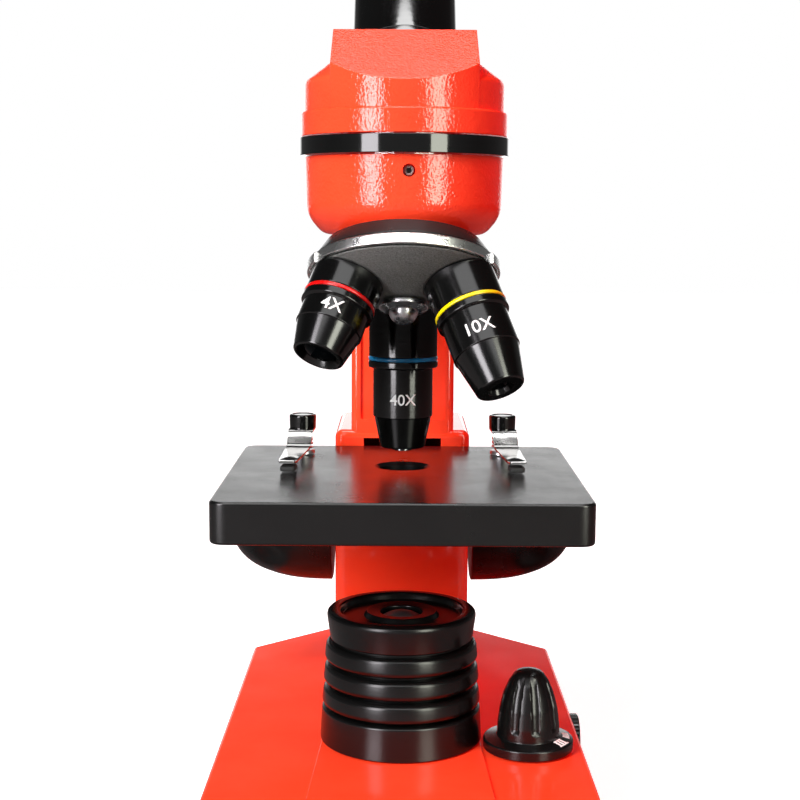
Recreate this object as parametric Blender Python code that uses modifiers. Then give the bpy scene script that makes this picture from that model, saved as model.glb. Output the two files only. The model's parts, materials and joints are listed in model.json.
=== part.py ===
"""A student's compound microscope, built from the pieces that it comes apart into on a bench.

Metres, +Z up. The microscope stands on Z = 0 and faces -Y, towards the user's specimen side.
Every piece hangs from the empty "optical_axis", the vertical line through lamp, stage hole and objective.
The nosepiece, each objective, the eyepiece tube and each clip have an empty of their own on their own axis.
"""

import math

import bmesh
import bpy
from mathutils import Matrix, Vector

MM = 0.001
DEGREE = math.pi / 180

# Where two pieces meet they keep this gap, as paint and a running fit would.
GAP = 0.3 * MM

# Driving dimensions of the stand, measured from the optical axis.
OPTICAL_Y = -22 * MM
BASE_TOP = 30 * MM
BASE_BOTTOM = 3 * MM
BASE_HALF_WIDTH = 49.5 * MM
BASE_REAR = 110 * MM
BASE_FRONT = -66 * MM
WALL = 2.6 * MM
COLUMN_HALF_WIDTH = 19.7 * MM
COLUMN_FRONT = 36.5 * MM
COLUMN_REAR = 79.5 * MM
SHOULDER = 110 * MM
UPPER_HALF_WIDTH = 14.95 * MM
SEAT_RADIUS = 25.75 * MM
SEAT_BOTTOM = 167.4 * MM
SEAT_TOP = 187.4 * MM

# Driving dimensions of the stage and its focus drive.
STAGE_HALF_WIDTH = 45.65 * MM
STAGE_FRONT = -52.7 * MM
STAGE_REAR = 35.3 * MM
STAGE_TOP = 105.75 * MM
STAGE_THICKNESS = 10.3 * MM
STAGE_HOLE = 6.5 * MM
FOCUS_Y = 57 * MM
FOCUS_Z = 79 * MM
GEAR_MODULE = 0.8 * MM
PINION_TEETH = 15
PITCH_RADIUS = GEAR_MODULE * PINION_TEETH / 2
PRESSURE_ANGLE = 20 * DEGREE
SHAFT_RADIUS = 3 * MM
KNOB_END = 52.4 * MM

# Driving dimensions of the nosepiece: all three objectives point at the apex, high on the optical axis.
APEX_Z = 192.3 * MM
TILT = 21 * DEGREE
DOME_RADIUS = 45 * MM
OBJECTIVE_SEAT = 44.1 * MM
BARREL_RADIUS = 9.05 * MM

# Driving dimensions of the head and its slanted tube.
HEAD_RING_TOP = 192.3 * MM
HEAD_RIDGE = 198.6 * MM
ROOF_START = 206.5 * MM
HEAD_RADIUS = 26.9 * MM
TUBE_ORIGIN_Z = 196.4 * MM
TUBE_LEAN = 45 * DEGREE
TUBE_RADIUS = 14.5 * MM
TUBE_BORE = 11.9 * MM
TUBE_SPIGOT = 13.2 * MM
TUBE_FLANGE = 16.3 * MM
TUBE_FACE = 16.5 * MM
TUBE_END = 85 * MM
EYEPIECE_END = 100 * MM

# Sides of a round piece, by its size.
FINE = 28
MEDIUM = 18
COARSE = 10

# A turn that stands a flat outline up in the YZ plane, and one that stands it up in the XZ plane.
SIDEWAYS = (90 * DEGREE, 0, 90 * DEGREE)
UPRIGHT = (90 * DEGREE, 0, 0)


def clear_scene():
    for obj in list(bpy.data.objects):
        bpy.data.objects.remove(obj, do_unlink=True)


def new_collection(name, for_render):
    collection = bpy.data.collections.new(name)
    collection.hide_render = not for_render
    bpy.context.scene.collection.children.link(collection)
    return collection


def linear(level):
    """One sRGB level, 0 to 255, as the linear value that a material takes."""
    share = level / 255
    return share / 12.92 if share <= 0.04045 else ((share + 0.055) / 1.055) ** 2.4


def finish(name, red, green, blue, roughness, metallic=0.0):
    material = bpy.data.materials.new(name)
    material.use_nodes = True
    shader = material.node_tree.nodes["Principled BSDF"]
    shader.inputs["Base Color"].default_value = (linear(red), linear(green), linear(blue), 1)
    shader.inputs["Roughness"].default_value = roughness
    shader.inputs["Metallic"].default_value = metallic
    return material


clear_scene()
PARTS = new_collection("compound_microscope", True)
CUTTERS = new_collection("cutters", False)

ORANGE = finish("orange_paint", 250, 62, 34, 0.3)
BLACK_PAINT = finish("black_paint", 26, 28, 30, 0.4)
BLACK_PLASTIC = finish("black_plastic", 40, 40, 42, 0.4)
SATIN_BLACK = finish("stage_black", 44, 43, 45, 0.45)
RUBBER = finish("rubber", 28, 28, 28, 0.8)
CHROME = finish("chrome", 225, 225, 225, 0.12, 1.0)
STEEL = finish("steel", 170, 170, 172, 0.3, 1.0)
ALUMINIUM = finish("aluminium", 210, 210, 210, 0.35, 1.0)
BRASS = finish("brass", 190, 150, 80, 0.3, 1.0)
GLASS = finish("optical_glass", 190, 205, 210, 0.05)
RED = finish("band_red", 225, 0, 0, 0.4)
YELLOW = finish("band_yellow", 250, 210, 0, 0.4)
BLUE = finish("band_blue", 0, 70, 140, 0.4)
BOARD_GREEN = finish("board_green", 20, 90, 50, 0.5)
LED_WHITE = finish("led_white", 235, 235, 220, 0.3)


def empty(name, at=(0, 0, 0), turn=(0, 0, 0), parent=None):
    obj = bpy.data.objects.new(name, None)
    PARTS.objects.link(obj)
    obj.parent = parent
    obj.location = at
    obj.rotation_euler = turn
    return obj


AXIS = empty("optical_axis", at=(0, OPTICAL_Y, 0))
TURRET = empty("turret_axis", at=(0, 0, APEX_Z), turn=(-TILT, 0, 0), parent=AXIS)
TUBE = empty("tube_axis", at=(0, 0, TUBE_ORIGIN_Z), turn=(-TUBE_LEAN, 0, 0), parent=AXIS)


def add(name, mesh, material, parent, at, turn):
    """A piece where it has a material, otherwise a cutter, which no render shows."""
    obj = bpy.data.objects.new(name, mesh)
    obj.parent = parent or AXIS
    obj.location = at
    obj.rotation_euler = turn
    if material:
        mesh.materials.append(material)
        PARTS.objects.link(obj)
    else:
        hide_helper(obj)
    return obj


def hide_helper(obj):
    obj.hide_render = True
    obj.display_type = "WIRE"
    CUTTERS.objects.link(obj)


def smooth(mesh, sharp_degrees=35):
    mesh.shade_smooth()
    mesh.set_sharp_from_angle(angle=sharp_degrees * DEGREE)


def block(name, low, high, material=None, parent=None, at=(0, 0, 0), turn=(0, 0, 0)):
    """A box between two corners."""
    size = Vector(high) - Vector(low)
    centre = (Vector(high) + Vector(low)) / 2
    bm = bmesh.new()
    bmesh.ops.create_cube(bm, size=1, matrix=Matrix.LocRotScale(centre, None, size))
    mesh = bpy.data.meshes.new(name)
    bm.to_mesh(mesh)
    bm.free()
    return add(name, mesh, material, parent, at, turn)


def turned(name, profile, material=None, steps=MEDIUM, parent=None, at=(0, 0, 0), turn=(0, 0, 0)):
    """(radius, height) points turned about Z. They run down the outer side, and a ring's come back up inside."""
    mesh = bpy.data.meshes.new(name)
    bm = bmesh.new()
    points = [bm.verts.new((radius, 0, height)) for radius, height in profile]
    for upper, lower in zip(points, points[1:]):
        bm.edges.new((upper, lower))
    if profile[0][0] > 0:
        bm.edges.new((points[-1], points[0]))
    bm.to_mesh(mesh)
    bm.free()
    obj = add(name, mesh, material, parent, at, turn)
    screw = obj.modifiers.new("turn", "SCREW")
    screw.steps = screw.render_steps = steps
    screw.use_merge_vertices = True
    screw.merge_threshold = 0.001 * MM
    return obj


def drum(name, radius, low, high, material=None, steps=COARSE, parent=None, at=(0, 0, 0), turn=(0, 0, 0)):
    """A plain cylinder about Z between two heights."""
    profile = [(0, high), (radius, high), (radius, low), (0, low)]
    return turned(name, profile, material, steps, parent, at, turn)


def welded_mesh(drawn):
    """The mesh of a curve object, its caps joined to its sides. The curve object is removed."""
    CUTTERS.objects.link(drawn)
    graph = bpy.context.evaluated_depsgraph_get()
    mesh = bpy.data.meshes.new_from_object(drawn.evaluated_get(graph))
    bm = bmesh.new()
    bm.from_mesh(mesh)
    bmesh.ops.remove_doubles(bm, verts=bm.verts, dist=0.001 * MM)
    bmesh.ops.recalc_face_normals(bm, faces=bm.faces)
    bm.to_mesh(mesh)
    bm.free()
    bpy.data.objects.remove(drawn)
    return mesh


def plate(name, outlines, thickness, material=None, parent=None, at=(0, 0, 0), turn=(0, 0, 0)):
    """A flat outline in its own XY plane, thickened both ways. Further outlines inside the first are holes."""
    curve = bpy.data.curves.new(name, "CURVE")
    curve.dimensions = "2D"
    curve.fill_mode = "BOTH"
    curve.extrude = thickness / 2
    for outline in outlines:
        spline = curve.splines.new("POLY")
        spline.points.add(len(outline) - 1)
        for point, (x, y) in zip(spline.points, outline):
            point.co = (x, y, 0, 1)
        spline.use_cyclic_u = True
    mesh = welded_mesh(bpy.data.objects.new(name + "_outline", curve))
    return add(name, mesh, material, parent, at, turn)


def wire(name, route, radius, material=None, sides=2, parent=None, at=(0, 0, 0), turn=(0, 0, 0)):
    """A round wire along a route of points."""
    curve = bpy.data.curves.new(name, "CURVE")
    curve.dimensions = "3D"
    curve.bevel_depth = radius
    curve.bevel_resolution = sides
    curve.use_fill_caps = True
    spline = curve.splines.new("POLY")
    spline.points.add(len(route) - 1)
    for point, place in zip(spline.points, route):
        point.co = (*place, 1)
    mesh = welded_mesh(bpy.data.objects.new(name + "_route", curve))
    return add(name, mesh, material, parent, at, turn)


def soften(obj, width, segments=2, angle=40):
    bevel = obj.modifiers.new("soften", "BEVEL")
    bevel.width = width
    bevel.segments = segments
    bevel.limit_method = "ANGLE"
    bevel.angle_limit = angle * DEGREE


def boolean(obj, other, operation):
    modifier = obj.modifiers.new(operation.lower(), "BOOLEAN")
    modifier.operation = operation
    modifier.object = other


def cut(obj, *cutters):
    for cutter in cutters:
        boolean(obj, cutter, "DIFFERENCE")


def join(obj, *others):
    for other in others:
        boolean(obj, other, "UNION")


def arc(centre_x, centre_y, radius, start, end, steps):
    """Points on an arc, its angles in degrees."""
    angles = [(start + (end - start) * step / steps) * DEGREE for step in range(steps + 1)]
    return [(centre_x + radius * math.cos(a), centre_y + radius * math.sin(a)) for a in angles]


def rounded_rectangle(left, right, near, far, radius, steps=4):
    corners = (
        (right - radius, far - radius, 0),
        (left + radius, far - radius, 90),
        (left + radius, near + radius, 180),
        (right - radius, near + radius, 270),
    )
    outline = []
    for x, y, start in corners:
        outline += arc(x, y, radius, start, start + 90, steps)
    return outline


def base_outline(inset=0.0):
    """The base seen from above: a long hexagon whose front corners are cut as well."""
    side = BASE_HALF_WIDTH - inset
    right = (
        (25.6 * MM - inset * 0.6, BASE_REAR - inset),
        (side - 0.5 * MM, 89.9 * MM - inset * 0.4),
        (side, -46 * MM + inset * 0.4),
        (31 * MM - inset * 0.5, BASE_FRONT + inset),
    )
    left = tuple((-x, y) for x, y in reversed(right))
    return right + left


def facet_cutter(name, side):
    """A wedge over one side of the base top: it leaves that side sloping gently down from a long ridge."""
    slope = 2.2 * DEGREE
    reach = 140 * MM
    ridge_rear = Vector((side * 25.2 * MM, 58.8 * MM, BASE_TOP))
    ridge_front = Vector((side * 40.3 * MM, -16.3 * MM, BASE_TOP))
    along = ridge_front - ridge_rear
    heading = math.atan2(along.y, along.x)
    near, far = sorted((0, side * reach))
    return block(name, (-reach, near, 0), (reach, far, 20 * MM), at=(ridge_rear + ridge_front) / 2,
                 turn=(-side * slope, 0, heading))


SELECTOR = (34.3 * MM, -7 * MM)
DIAL_Y = 30 * MM
DIAL_Z = 19 * MM
SPINDLE_RADIUS = 2.5 * MM
SOCKET_Z = 15 * MM
DOOR_HALF = (30 * MM, 17 * MM)


def make_base():
    height = BASE_TOP - BASE_BOTTOM
    middle = (BASE_TOP + BASE_BOTTOM) / 2
    shell = plate("base_shell", [base_outline()], height, ORANGE, at=(0, 0, middle))
    soften(shell, 1.2 * MM)
    plateau_height = 0.8 * MM
    plateau = plate(
        "base_plateau",
        [[(21 * MM, 10 * MM), (-21 * MM, 10 * MM), (-24 * MM, -62 * MM), (24 * MM, -62 * MM)]],
        4 * MM,
        at=(0, 0, BASE_TOP + plateau_height - 2 * MM),
    )
    soften(plateau, 0.4 * MM, 1)
    cut(shell, facet_cutter("facet_right", 1), facet_cutter("facet_left", -1))
    join(shell, plateau)
    hollow_top = BASE_TOP - WALL
    hollow = plate(
        "base_hollow", [base_outline(WALL)], 60 * MM, at=(0, 0, hollow_top - 30 * MM)
    )
    lamp_hole = drum("lamp_wire_hole", 14 * MM, 20 * MM, 40 * MM, steps=MEDIUM)
    selector_hole = drum("selector_hole", SPINDLE_RADIUS + GAP, 20 * MM, 40 * MM, at=(*SELECTOR, 0))
    dial_hole = drum("dial_hole", SPINDLE_RADIUS + GAP, 40 * MM, 60 * MM,
                     at=(0, DIAL_Y, DIAL_Z), turn=(0, 90 * DEGREE, 0))
    socket_hole = drum("socket_hole", 4.3 * MM, 100 * MM, 120 * MM,
                       at=(0, 0, SOCKET_Z), turn=(-90 * DEGREE, 0, 0))
    cut(shell, hollow, lamp_hole, selector_hole, dial_hole, socket_hole)


def make_base_plate():
    thickness = 2.5 * MM
    middle = BASE_BOTTOM + thickness / 2
    half_x, half_y = DOOR_HALF
    door_hole = rounded_rectangle(-half_x - GAP, half_x + GAP, -half_y - GAP, half_y + GAP, 2 * MM)
    outline = base_outline(WALL + GAP)
    plate("base_plate", [outline, door_hole], thickness, BLACK_PLASTIC, at=(0, 0, middle))
    door_outline = rounded_rectangle(-half_x, half_x, -half_y, half_y, 1.7 * MM)
    door = plate("battery_door", [door_outline], thickness, BLACK_PLASTIC, at=(0, 0, middle))
    grip = block("door_grip", (-7 * MM, -14 * MM, 0), (7 * MM, -11 * MM, BASE_BOTTOM + 1 * MM))
    cut(door, grip)
    for number, (x, y) in enumerate(((-37, -38), (37, -38), (-37, 80), (37, 80)), 1):
        foot_top = BASE_BOTTOM - GAP
        foot = [(0, foot_top), (7 * MM, foot_top), (6.2 * MM, 0), (0, 0)]
        turned(f"rubber_foot_{number}", foot, RUBBER, COARSE, at=(x * MM, y * MM, 0))


def make_power_socket():
    """The barrel socket that the lamp's supply plugs into, in the rear wall."""
    bore = 3 * MM
    skin = 4 * MM
    mouth = 2.4 * MM
    floor = -7 * MM
    end = -9 * MM
    profile = [(0, floor), (bore, floor), (bore, mouth), (skin, mouth), (skin, end), (0, end)]
    place = (0, BASE_REAR - 2.6 * MM, SOCKET_Z)
    turned("power_socket", profile, BLACK_PLASTIC, COARSE, at=place, turn=(-90 * DEGREE, 0, 0))


LAMP_TOP = 66.7 * MM
LAMP_RADIUS = 20.4 * MM
LAMP_RIB_PITCH = 6.1 * MM
LENS_HOLE = 5.8 * MM
DECK_BOTTOM = 62.9 * MM


def lamp_profile():
    """Drum with a sunken top, three bulging ribs, and a tall collar: down outside, then up the inner wall."""
    inner = 17 * MM
    groove = 18.4 * MM
    drum_bottom = 59 * MM
    profile = [
        (LENS_HOLE, LAMP_TOP - 0.9 * MM),
        (9.6 * MM, LAMP_TOP - 0.7 * MM),
        (10.3 * MM, LAMP_TOP - 1.9 * MM),
        (15.9 * MM, LAMP_TOP - 1.9 * MM),
        (16.6 * MM, LAMP_TOP - 0.3 * MM),
        (17.4 * MM, LAMP_TOP),
        (LAMP_RADIUS - 1.2 * MM, LAMP_TOP),
        (LAMP_RADIUS - 0.3 * MM, LAMP_TOP - 0.5 * MM),
        (LAMP_RADIUS, LAMP_TOP - 1.4 * MM),
        (LAMP_RADIUS, drum_bottom + 0.4 * MM),
        (LAMP_RADIUS - 0.5 * MM, drum_bottom),
        (groove, drum_bottom),
    ]
    for rib in range(3):
        top = drum_bottom - 0.6 * MM - rib * LAMP_RIB_PITCH
        bulge = LAMP_RADIUS + (0.5 + 0.35 * rib) * MM
        profile += [
            (groove, top),
            (bulge - 0.4 * MM, top - 0.3 * MM),
            (bulge, top - 1.6 * MM),
            (bulge - 0.2 * MM, top - 4 * MM),
            (groove, top - LAMP_RIB_PITCH + 0.6 * MM),
        ]
    collar_top = drum_bottom - 0.6 * MM - 3 * LAMP_RIB_PITCH
    floor = BASE_TOP + 1.1 * MM
    profile += [
        (groove, collar_top),
        (LAMP_RADIUS + 1.0 * MM, collar_top),
        (LAMP_RADIUS + 1.3 * MM, collar_top - 0.5 * MM),
        (LAMP_RADIUS + 1.6 * MM, floor),
        (inner, floor),
        (inner, DECK_BOTTOM),
        (LENS_HOLE - 0.9 * MM, DECK_BOTTOM),
        (LENS_HOLE - 0.9 * MM, DECK_BOTTOM + 1.1 * MM),
        (LENS_HOLE, DECK_BOTTOM + 1.1 * MM),
    ]
    return profile


def make_lamp():
    turned("lamp_housing", lamp_profile(), BLACK_PLASTIC, MEDIUM)
    lens_seat = DECK_BOTTOM + 1.1 * MM + GAP
    lens_radius = LENS_HOLE - GAP
    lens = [(0, lens_seat + 1.7 * MM), (lens_radius * 0.6, lens_seat + 1.4 * MM)]
    lens += [(lens_radius, lens_seat + 0.5 * MM), (lens_radius, lens_seat), (0, lens_seat)]
    turned("lamp_lens", lens, GLASS, COARSE)
    board_top = DECK_BOTTOM - GAP
    drum("lamp_board", 12 * MM, board_top - 1.4 * MM, board_top, BOARD_GREEN)
    led_bottom = board_top + GAP
    led = [(0, led_bottom + 1.1 * MM), (1.6 * MM, led_bottom + 0.8 * MM)]
    led += [(2.4 * MM, led_bottom), (0, led_bottom)]
    turned("lamp_led", led, LED_WHITE, COARSE)


SLOT_HALF_WIDTH = 11.3 * MM
SLOT_BOTTOM = 76 * MM
SLOT_TOP = 107.8 * MM
CAVITY_HALF_WIDTH = 14 * MM
CAVITY_BOTTOM = 40 * MM
CAVITY_FRONT = COLUMN_FRONT + 2.8 * MM
BUSH_RADIUS = 6 * MM
SPIGOT_RADIUS = 15 * MM
SPIGOT_BOTTOM = 176.5 * MM
LIGHT_RADIUS = 8 * MM
LOCK_Z = 183.4 * MM
LOCK_X = 1.1 * MM
MOUNT_TOP = 29.8 * MM
MOUNT_BOTTOM = 34.7 * MM
PIVOT_RADIUS = 2.5 * MM


def head_seat():
    """The drum that carries the head, its short neck cut to the slant of the nosepiece."""
    corner = 4.8 * MM
    neck = 18.5 * MM
    low_radius = SEAT_RADIUS - 0.4 * MM
    rounding = arc(low_radius - corner, SEAT_BOTTOM + corner, corner, 0, -90, 3)
    profile = [(0, SEAT_TOP), (SEAT_RADIUS + 0.2 * MM, SEAT_TOP), *rounding]
    profile += [(neck, SEAT_BOTTOM), (neck, 140 * MM), (0, 140 * MM)]
    seat = turned("head_seat", profile, steps=FINE)
    below = block(
        "below_nosepiece", (-40 * MM, -60 * MM, -90 * MM), (40 * MM, 60 * MM, GAP - MOUNT_TOP), parent=TURRET
    )
    cut(seat, below)
    return seat


def upper_column():
    """The arm seen from the side: a column that bends forward into the head seat."""
    front = COLUMN_FRONT + 0.5 * MM
    rear = 71 * MM
    outline = [(front, SHOULDER - 3 * MM)]
    outline += [(x, y) for x, y in arc(front - 16 * MM, 151 * MM, 16 * MM, 0, 70, 3)]
    outline += [(12 * MM, 170 * MM), (12 * MM, SEAT_TOP - 1.6 * MM)]
    outline += arc(rear - 34 * MM, SEAT_TOP - 1.6 * MM - 34 * MM, 34 * MM, 90, 0, 5)
    outline += [(rear, SHOULDER - 3 * MM)]
    column = plate("upper_column", [outline], 2 * UPPER_HALF_WIDTH, turn=SIDEWAYS)
    soften(column, 2 * MM, 2)
    return column


def make_arm():
    """One casting: lower column, upper column and head seat."""
    footing = BASE_TOP + GAP
    height = SHOULDER - footing
    outline = rounded_rectangle(-COLUMN_HALF_WIDTH, COLUMN_HALF_WIDTH, COLUMN_FRONT, COLUMN_REAR, 3 * MM, 2)
    arm = plate("arm", [outline], height, ORANGE, at=(0, 0, footing + height / 2))
    soften(arm, 1.8 * MM, 2)
    join(arm, upper_column(), head_seat())
    cavity = block("drive_cavity", (-CAVITY_HALF_WIDTH, CAVITY_FRONT, CAVITY_BOTTOM),
                   (CAVITY_HALF_WIDTH, 100 * MM, SLOT_TOP))
    slot = block("stage_slot", (-SLOT_HALF_WIDTH, 20 * MM, SLOT_BOTTOM), (SLOT_HALF_WIDTH, 50 * MM, SLOT_TOP))
    bush_hole = drum("bush_hole", BUSH_RADIUS + GAP, -40 * MM, 40 * MM,
                     at=(0, FOCUS_Y, FOCUS_Z), turn=(0, 90 * DEGREE, 0))
    panel_half = 12.3 * MM
    panel_outline = rounded_rectangle(-panel_half, panel_half, 113.1 * MM, 152 * MM, 1.5 * MM)
    panel = plate("front_panel", [panel_outline], 2 * MM, at=(0, COLUMN_FRONT + 0.5 * MM, 0),
                  turn=UPRIGHT)
    spigot_bore = drum("spigot_bore", SPIGOT_RADIUS + GAP, SPIGOT_BOTTOM - GAP, 200 * MM, steps=MEDIUM)
    light_path = drum("arm_light_path", LIGHT_RADIUS, 130 * MM, 190 * MM)
    lock_hole = drum("lock_hole", 1.6 * MM, 10 * MM, 40 * MM, steps=COARSE,
                     at=(LOCK_X, 0, LOCK_Z), turn=UPRIGHT)
    pivot_hole = drum("arm_pivot_hole", PIVOT_RADIUS + GAP, -40 * MM, -22 * MM, steps=COARSE, parent=TURRET)
    cut(arm, cavity, slot, bush_hole, panel, spigot_bore, light_path, lock_hole, pivot_hole)


def make_arm_fittings():
    side = CAVITY_HALF_WIDTH - GAP
    outline = rounded_rectangle(-side, side, CAVITY_BOTTOM + GAP, SLOT_TOP - GAP, 0.6 * MM, 2)
    plate("arm_rear_cover", [outline], 2.4 * MM, BLACK_PLASTIC,
          at=(0, COLUMN_REAR - 1.6 * MM, 0), turn=UPRIGHT)
    flange = COLUMN_HALF_WIDTH + GAP
    bush = [
        (SHAFT_RADIUS + GAP, flange + 1 * MM), (8 * MM, flange + 1 * MM), (8 * MM, flange),
        (BUSH_RADIUS, flange), (BUSH_RADIUS, 14.3 * MM), (SHAFT_RADIUS + GAP, 14.3 * MM),
    ]
    for name, side_turn in (("focus_bush_right", 90), ("focus_bush_left", -90)):
        turned(name, bush, BRASS, COARSE, at=(0, FOCUS_Y, FOCUS_Z), turn=(0, side_turn * DEGREE, 0))
    ring = [
        (SPIGOT_RADIUS + GAP, HEAD_RING_TOP), (27 * MM, HEAD_RING_TOP), (27.35 * MM, HEAD_RING_TOP - 0.5 * MM),
        (27.35 * MM, SEAT_TOP + GAP + 0.5 * MM), (27 * MM, SEAT_TOP + GAP), (SPIGOT_RADIUS + GAP, SEAT_TOP + GAP),
    ]
    turned("head_ring", ring, BLACK_PAINT, FINE)
    socket = [(0, 23.2 * MM), (0.7 * MM, 23.2 * MM), (0.7 * MM, 24.6 * MM), (1.3 * MM, 24.6 * MM)]
    socket += [(1.3 * MM, SPIGOT_RADIUS + GAP), (0, SPIGOT_RADIUS + GAP)]
    turned("head_lock_screw", socket, STEEL, COARSE, at=(LOCK_X, 0, LOCK_Z), turn=UPRIGHT)


def make_nosepiece():
    """Fixed cone, silver ring and dome stacked down the tilted axis. Depths below are from the apex."""
    mount_profile = [
        (0, -MOUNT_TOP), (19.4 * MM, -MOUNT_TOP), (20.2 * MM, -MOUNT_TOP - 0.6 * MM),
        (22.9 * MM, -MOUNT_BOTTOM + 0.8 * MM), (22.9 * MM, -MOUNT_BOTTOM), (0, -MOUNT_BOTTOM),
    ]
    mount = turned("nosepiece_mount", mount_profile, BLACK_PAINT, FINE, parent=TURRET)
    mount_pivot = drum("mount_pivot_hole", PIVOT_RADIUS + GAP, -50 * MM, -20 * MM, steps=COARSE, parent=TURRET)
    mount_light = drum("mount_light_path", LIGHT_RADIUS - 1 * MM, 130 * MM, 180 * MM)
    cut(mount, mount_pivot, mount_light)

    ring_top = MOUNT_BOTTOM + GAP
    ring_bottom = 37.7 * MM
    ring_bore = 21 * MM
    ring_profile = [
        (ring_bore, -ring_top), (24.2 * MM, -ring_top), (24.6 * MM, -ring_top - 0.4 * MM),
        (24.6 * MM, -ring_bottom + 0.4 * MM), (24.2 * MM, -ring_bottom), (ring_bore, -ring_bottom),
    ]
    ring = turned("turret_ring", ring_profile, ALUMINIUM, FINE, parent=TURRET)
    for number in range(3):
        notch = block("ring_notch", (24 * MM, -2.2 * MM, -40 * MM), (30 * MM, 2.2 * MM, -30 * MM),
                      parent=TURRET, turn=(0, 0, (30 + 120 * number) * DEGREE))
        cut(ring, notch)

    dome_top = ring_bottom + GAP
    rim_radius = math.sqrt(DOME_RADIUS**2 - dome_top**2)
    start = math.degrees(math.asin(-dome_top / DOME_RADIUS))
    dome_profile = [(0, -dome_top), (rim_radius - 0.2 * MM, -dome_top)]
    dome_profile += arc(0, 0, DOME_RADIUS, start, -90, 5)[:-1] + [(0, -DOME_RADIUS)]
    dome = turned("turret_dome", dome_profile, BLACK_PAINT, FINE, parent=TURRET)
    pivot = drum("dome_pivot_hole", PIVOT_RADIUS + GAP, -60 * MM, -20 * MM, steps=COARSE, parent=TURRET)
    cut(dome, pivot)
    for number, axis in enumerate(OBJECTIVE_AXES.values()):
        seat = drum(f"objective_seat_{number}", BARREL_RADIUS + 0.4 * MM, -60 * MM,
                    -(OBJECTIVE_SEAT - GAP), steps=MEDIUM, parent=axis)
        thread = drum(f"objective_thread_{number}", THREAD_RADIUS + GAP, -60 * MM, -30 * MM, steps=COARSE, parent=axis)
        cut(dome, seat, thread)

    washer_top = DOME_RADIUS + GAP
    screw_profile = [
        (0, -26 * MM), (PIVOT_RADIUS, -26 * MM), (PIVOT_RADIUS, -washer_top), (6 * MM, -washer_top),
        (6.3 * MM, -washer_top - 0.5 * MM), (5.6 * MM, -washer_top - 1.3 * MM), (3.9 * MM, -washer_top - 1.8 * MM),
        (3.9 * MM, -washer_top - 2.8 * MM), (3.1 * MM, -washer_top - 4.2 * MM), (1.6 * MM, -washer_top - 5.1 * MM),
        (0, -washer_top - 5.4 * MM),
    ]
    turned("turret_screw", screw_profile, CHROME, COARSE, parent=TURRET)


THREAD_RADIUS = 5.6 * MM
THREAD_TOP = 41 * MM
OBJECTIVE_AXES = {
    power: empty(f"objective_{power}_axis", turn=(TILT, 0, index * 120 * DEGREE), parent=TURRET)
    for index, power in ((0, "40x"), (1, "4x"), (-1, "10x"))
}


def make_objective(power, band_finish, band, waist, shoulder, tip, tip_radius, recess):
    """One objective on its own axis. Every distance is measured down that axis from the apex."""
    axis = OBJECTIVE_AXES[power]
    band_width = 1.3 * MM
    band_bore = 8.3 * MM
    barrel_radius = BARREL_RADIUS
    profile = [
        (0, -THREAD_TOP), (THREAD_RADIUS, -THREAD_TOP), (THREAD_RADIUS, -OBJECTIVE_SEAT),
        (barrel_radius - 0.3 * MM, -OBJECTIVE_SEAT), (barrel_radius, -OBJECTIVE_SEAT - 0.3 * MM),
        (barrel_radius, -band), (band_bore, -band), (band_bore, -band - band_width),
        (barrel_radius + 0.15 * MM, -band - band_width), (barrel_radius + 0.15 * MM, -band - band_width - 1.6 * MM),
        (waist, -band - band_width - 2.2 * MM), (waist, -shoulder), (waist - 0.25 * MM, -shoulder - 0.3 * MM),
        (tip_radius + 0.4 * MM, -tip + 0.5 * MM), (tip_radius, -tip),
        (recess, -tip), (recess * 0.8, -tip + 1.6 * MM), (0, -tip + 1.6 * MM),
    ]
    turned(f"objective_{power}_barrel", profile, BLACK_PAINT, MEDIUM, parent=axis)
    top = band + 0.15 * MM
    bottom = band + band_width - 0.15 * MM
    band_profile = [
        (band_bore + GAP, -top), (barrel_radius, -top), (barrel_radius + 0.2 * MM, -(top + bottom) / 2),
        (barrel_radius, -bottom), (band_bore + GAP, -bottom),
    ]
    turned(f"objective_{power}_band", band_profile, band_finish, MEDIUM, parent=axis)
    lens_radius = recess * 0.8 - GAP
    lens_top = -tip + 1.6 * MM - GAP
    lens_profile = [(0, lens_top), (lens_radius, lens_top), (lens_radius, lens_top - 0.4 * MM)]
    lens_profile += [(lens_radius * 0.55, lens_top - 0.8 * MM), (0, lens_top - 0.95 * MM)]
    turned(f"objective_{power}_lens", lens_profile, GLASS, COARSE, parent=axis)


def make_objectives():
    make_objective("4x", RED, band=50.6 * MM, waist=8.4 * MM, shoulder=59.4 * MM, tip=67 * MM,
                   tip_radius=6.4 * MM, recess=5.5 * MM)
    make_objective("10x", YELLOW, band=53 * MM, waist=8.4 * MM, shoulder=65.8 * MM, tip=75.9 * MM,
                   tip_radius=6 * MM, recess=3.2 * MM)
    make_objective("40x", BLUE, band=56.7 * MM, waist=7.9 * MM, shoulder=72.8 * MM, tip=81.3 * MM,
                   tip_radius=5.9 * MM, recess=2.4 * MM)


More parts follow.
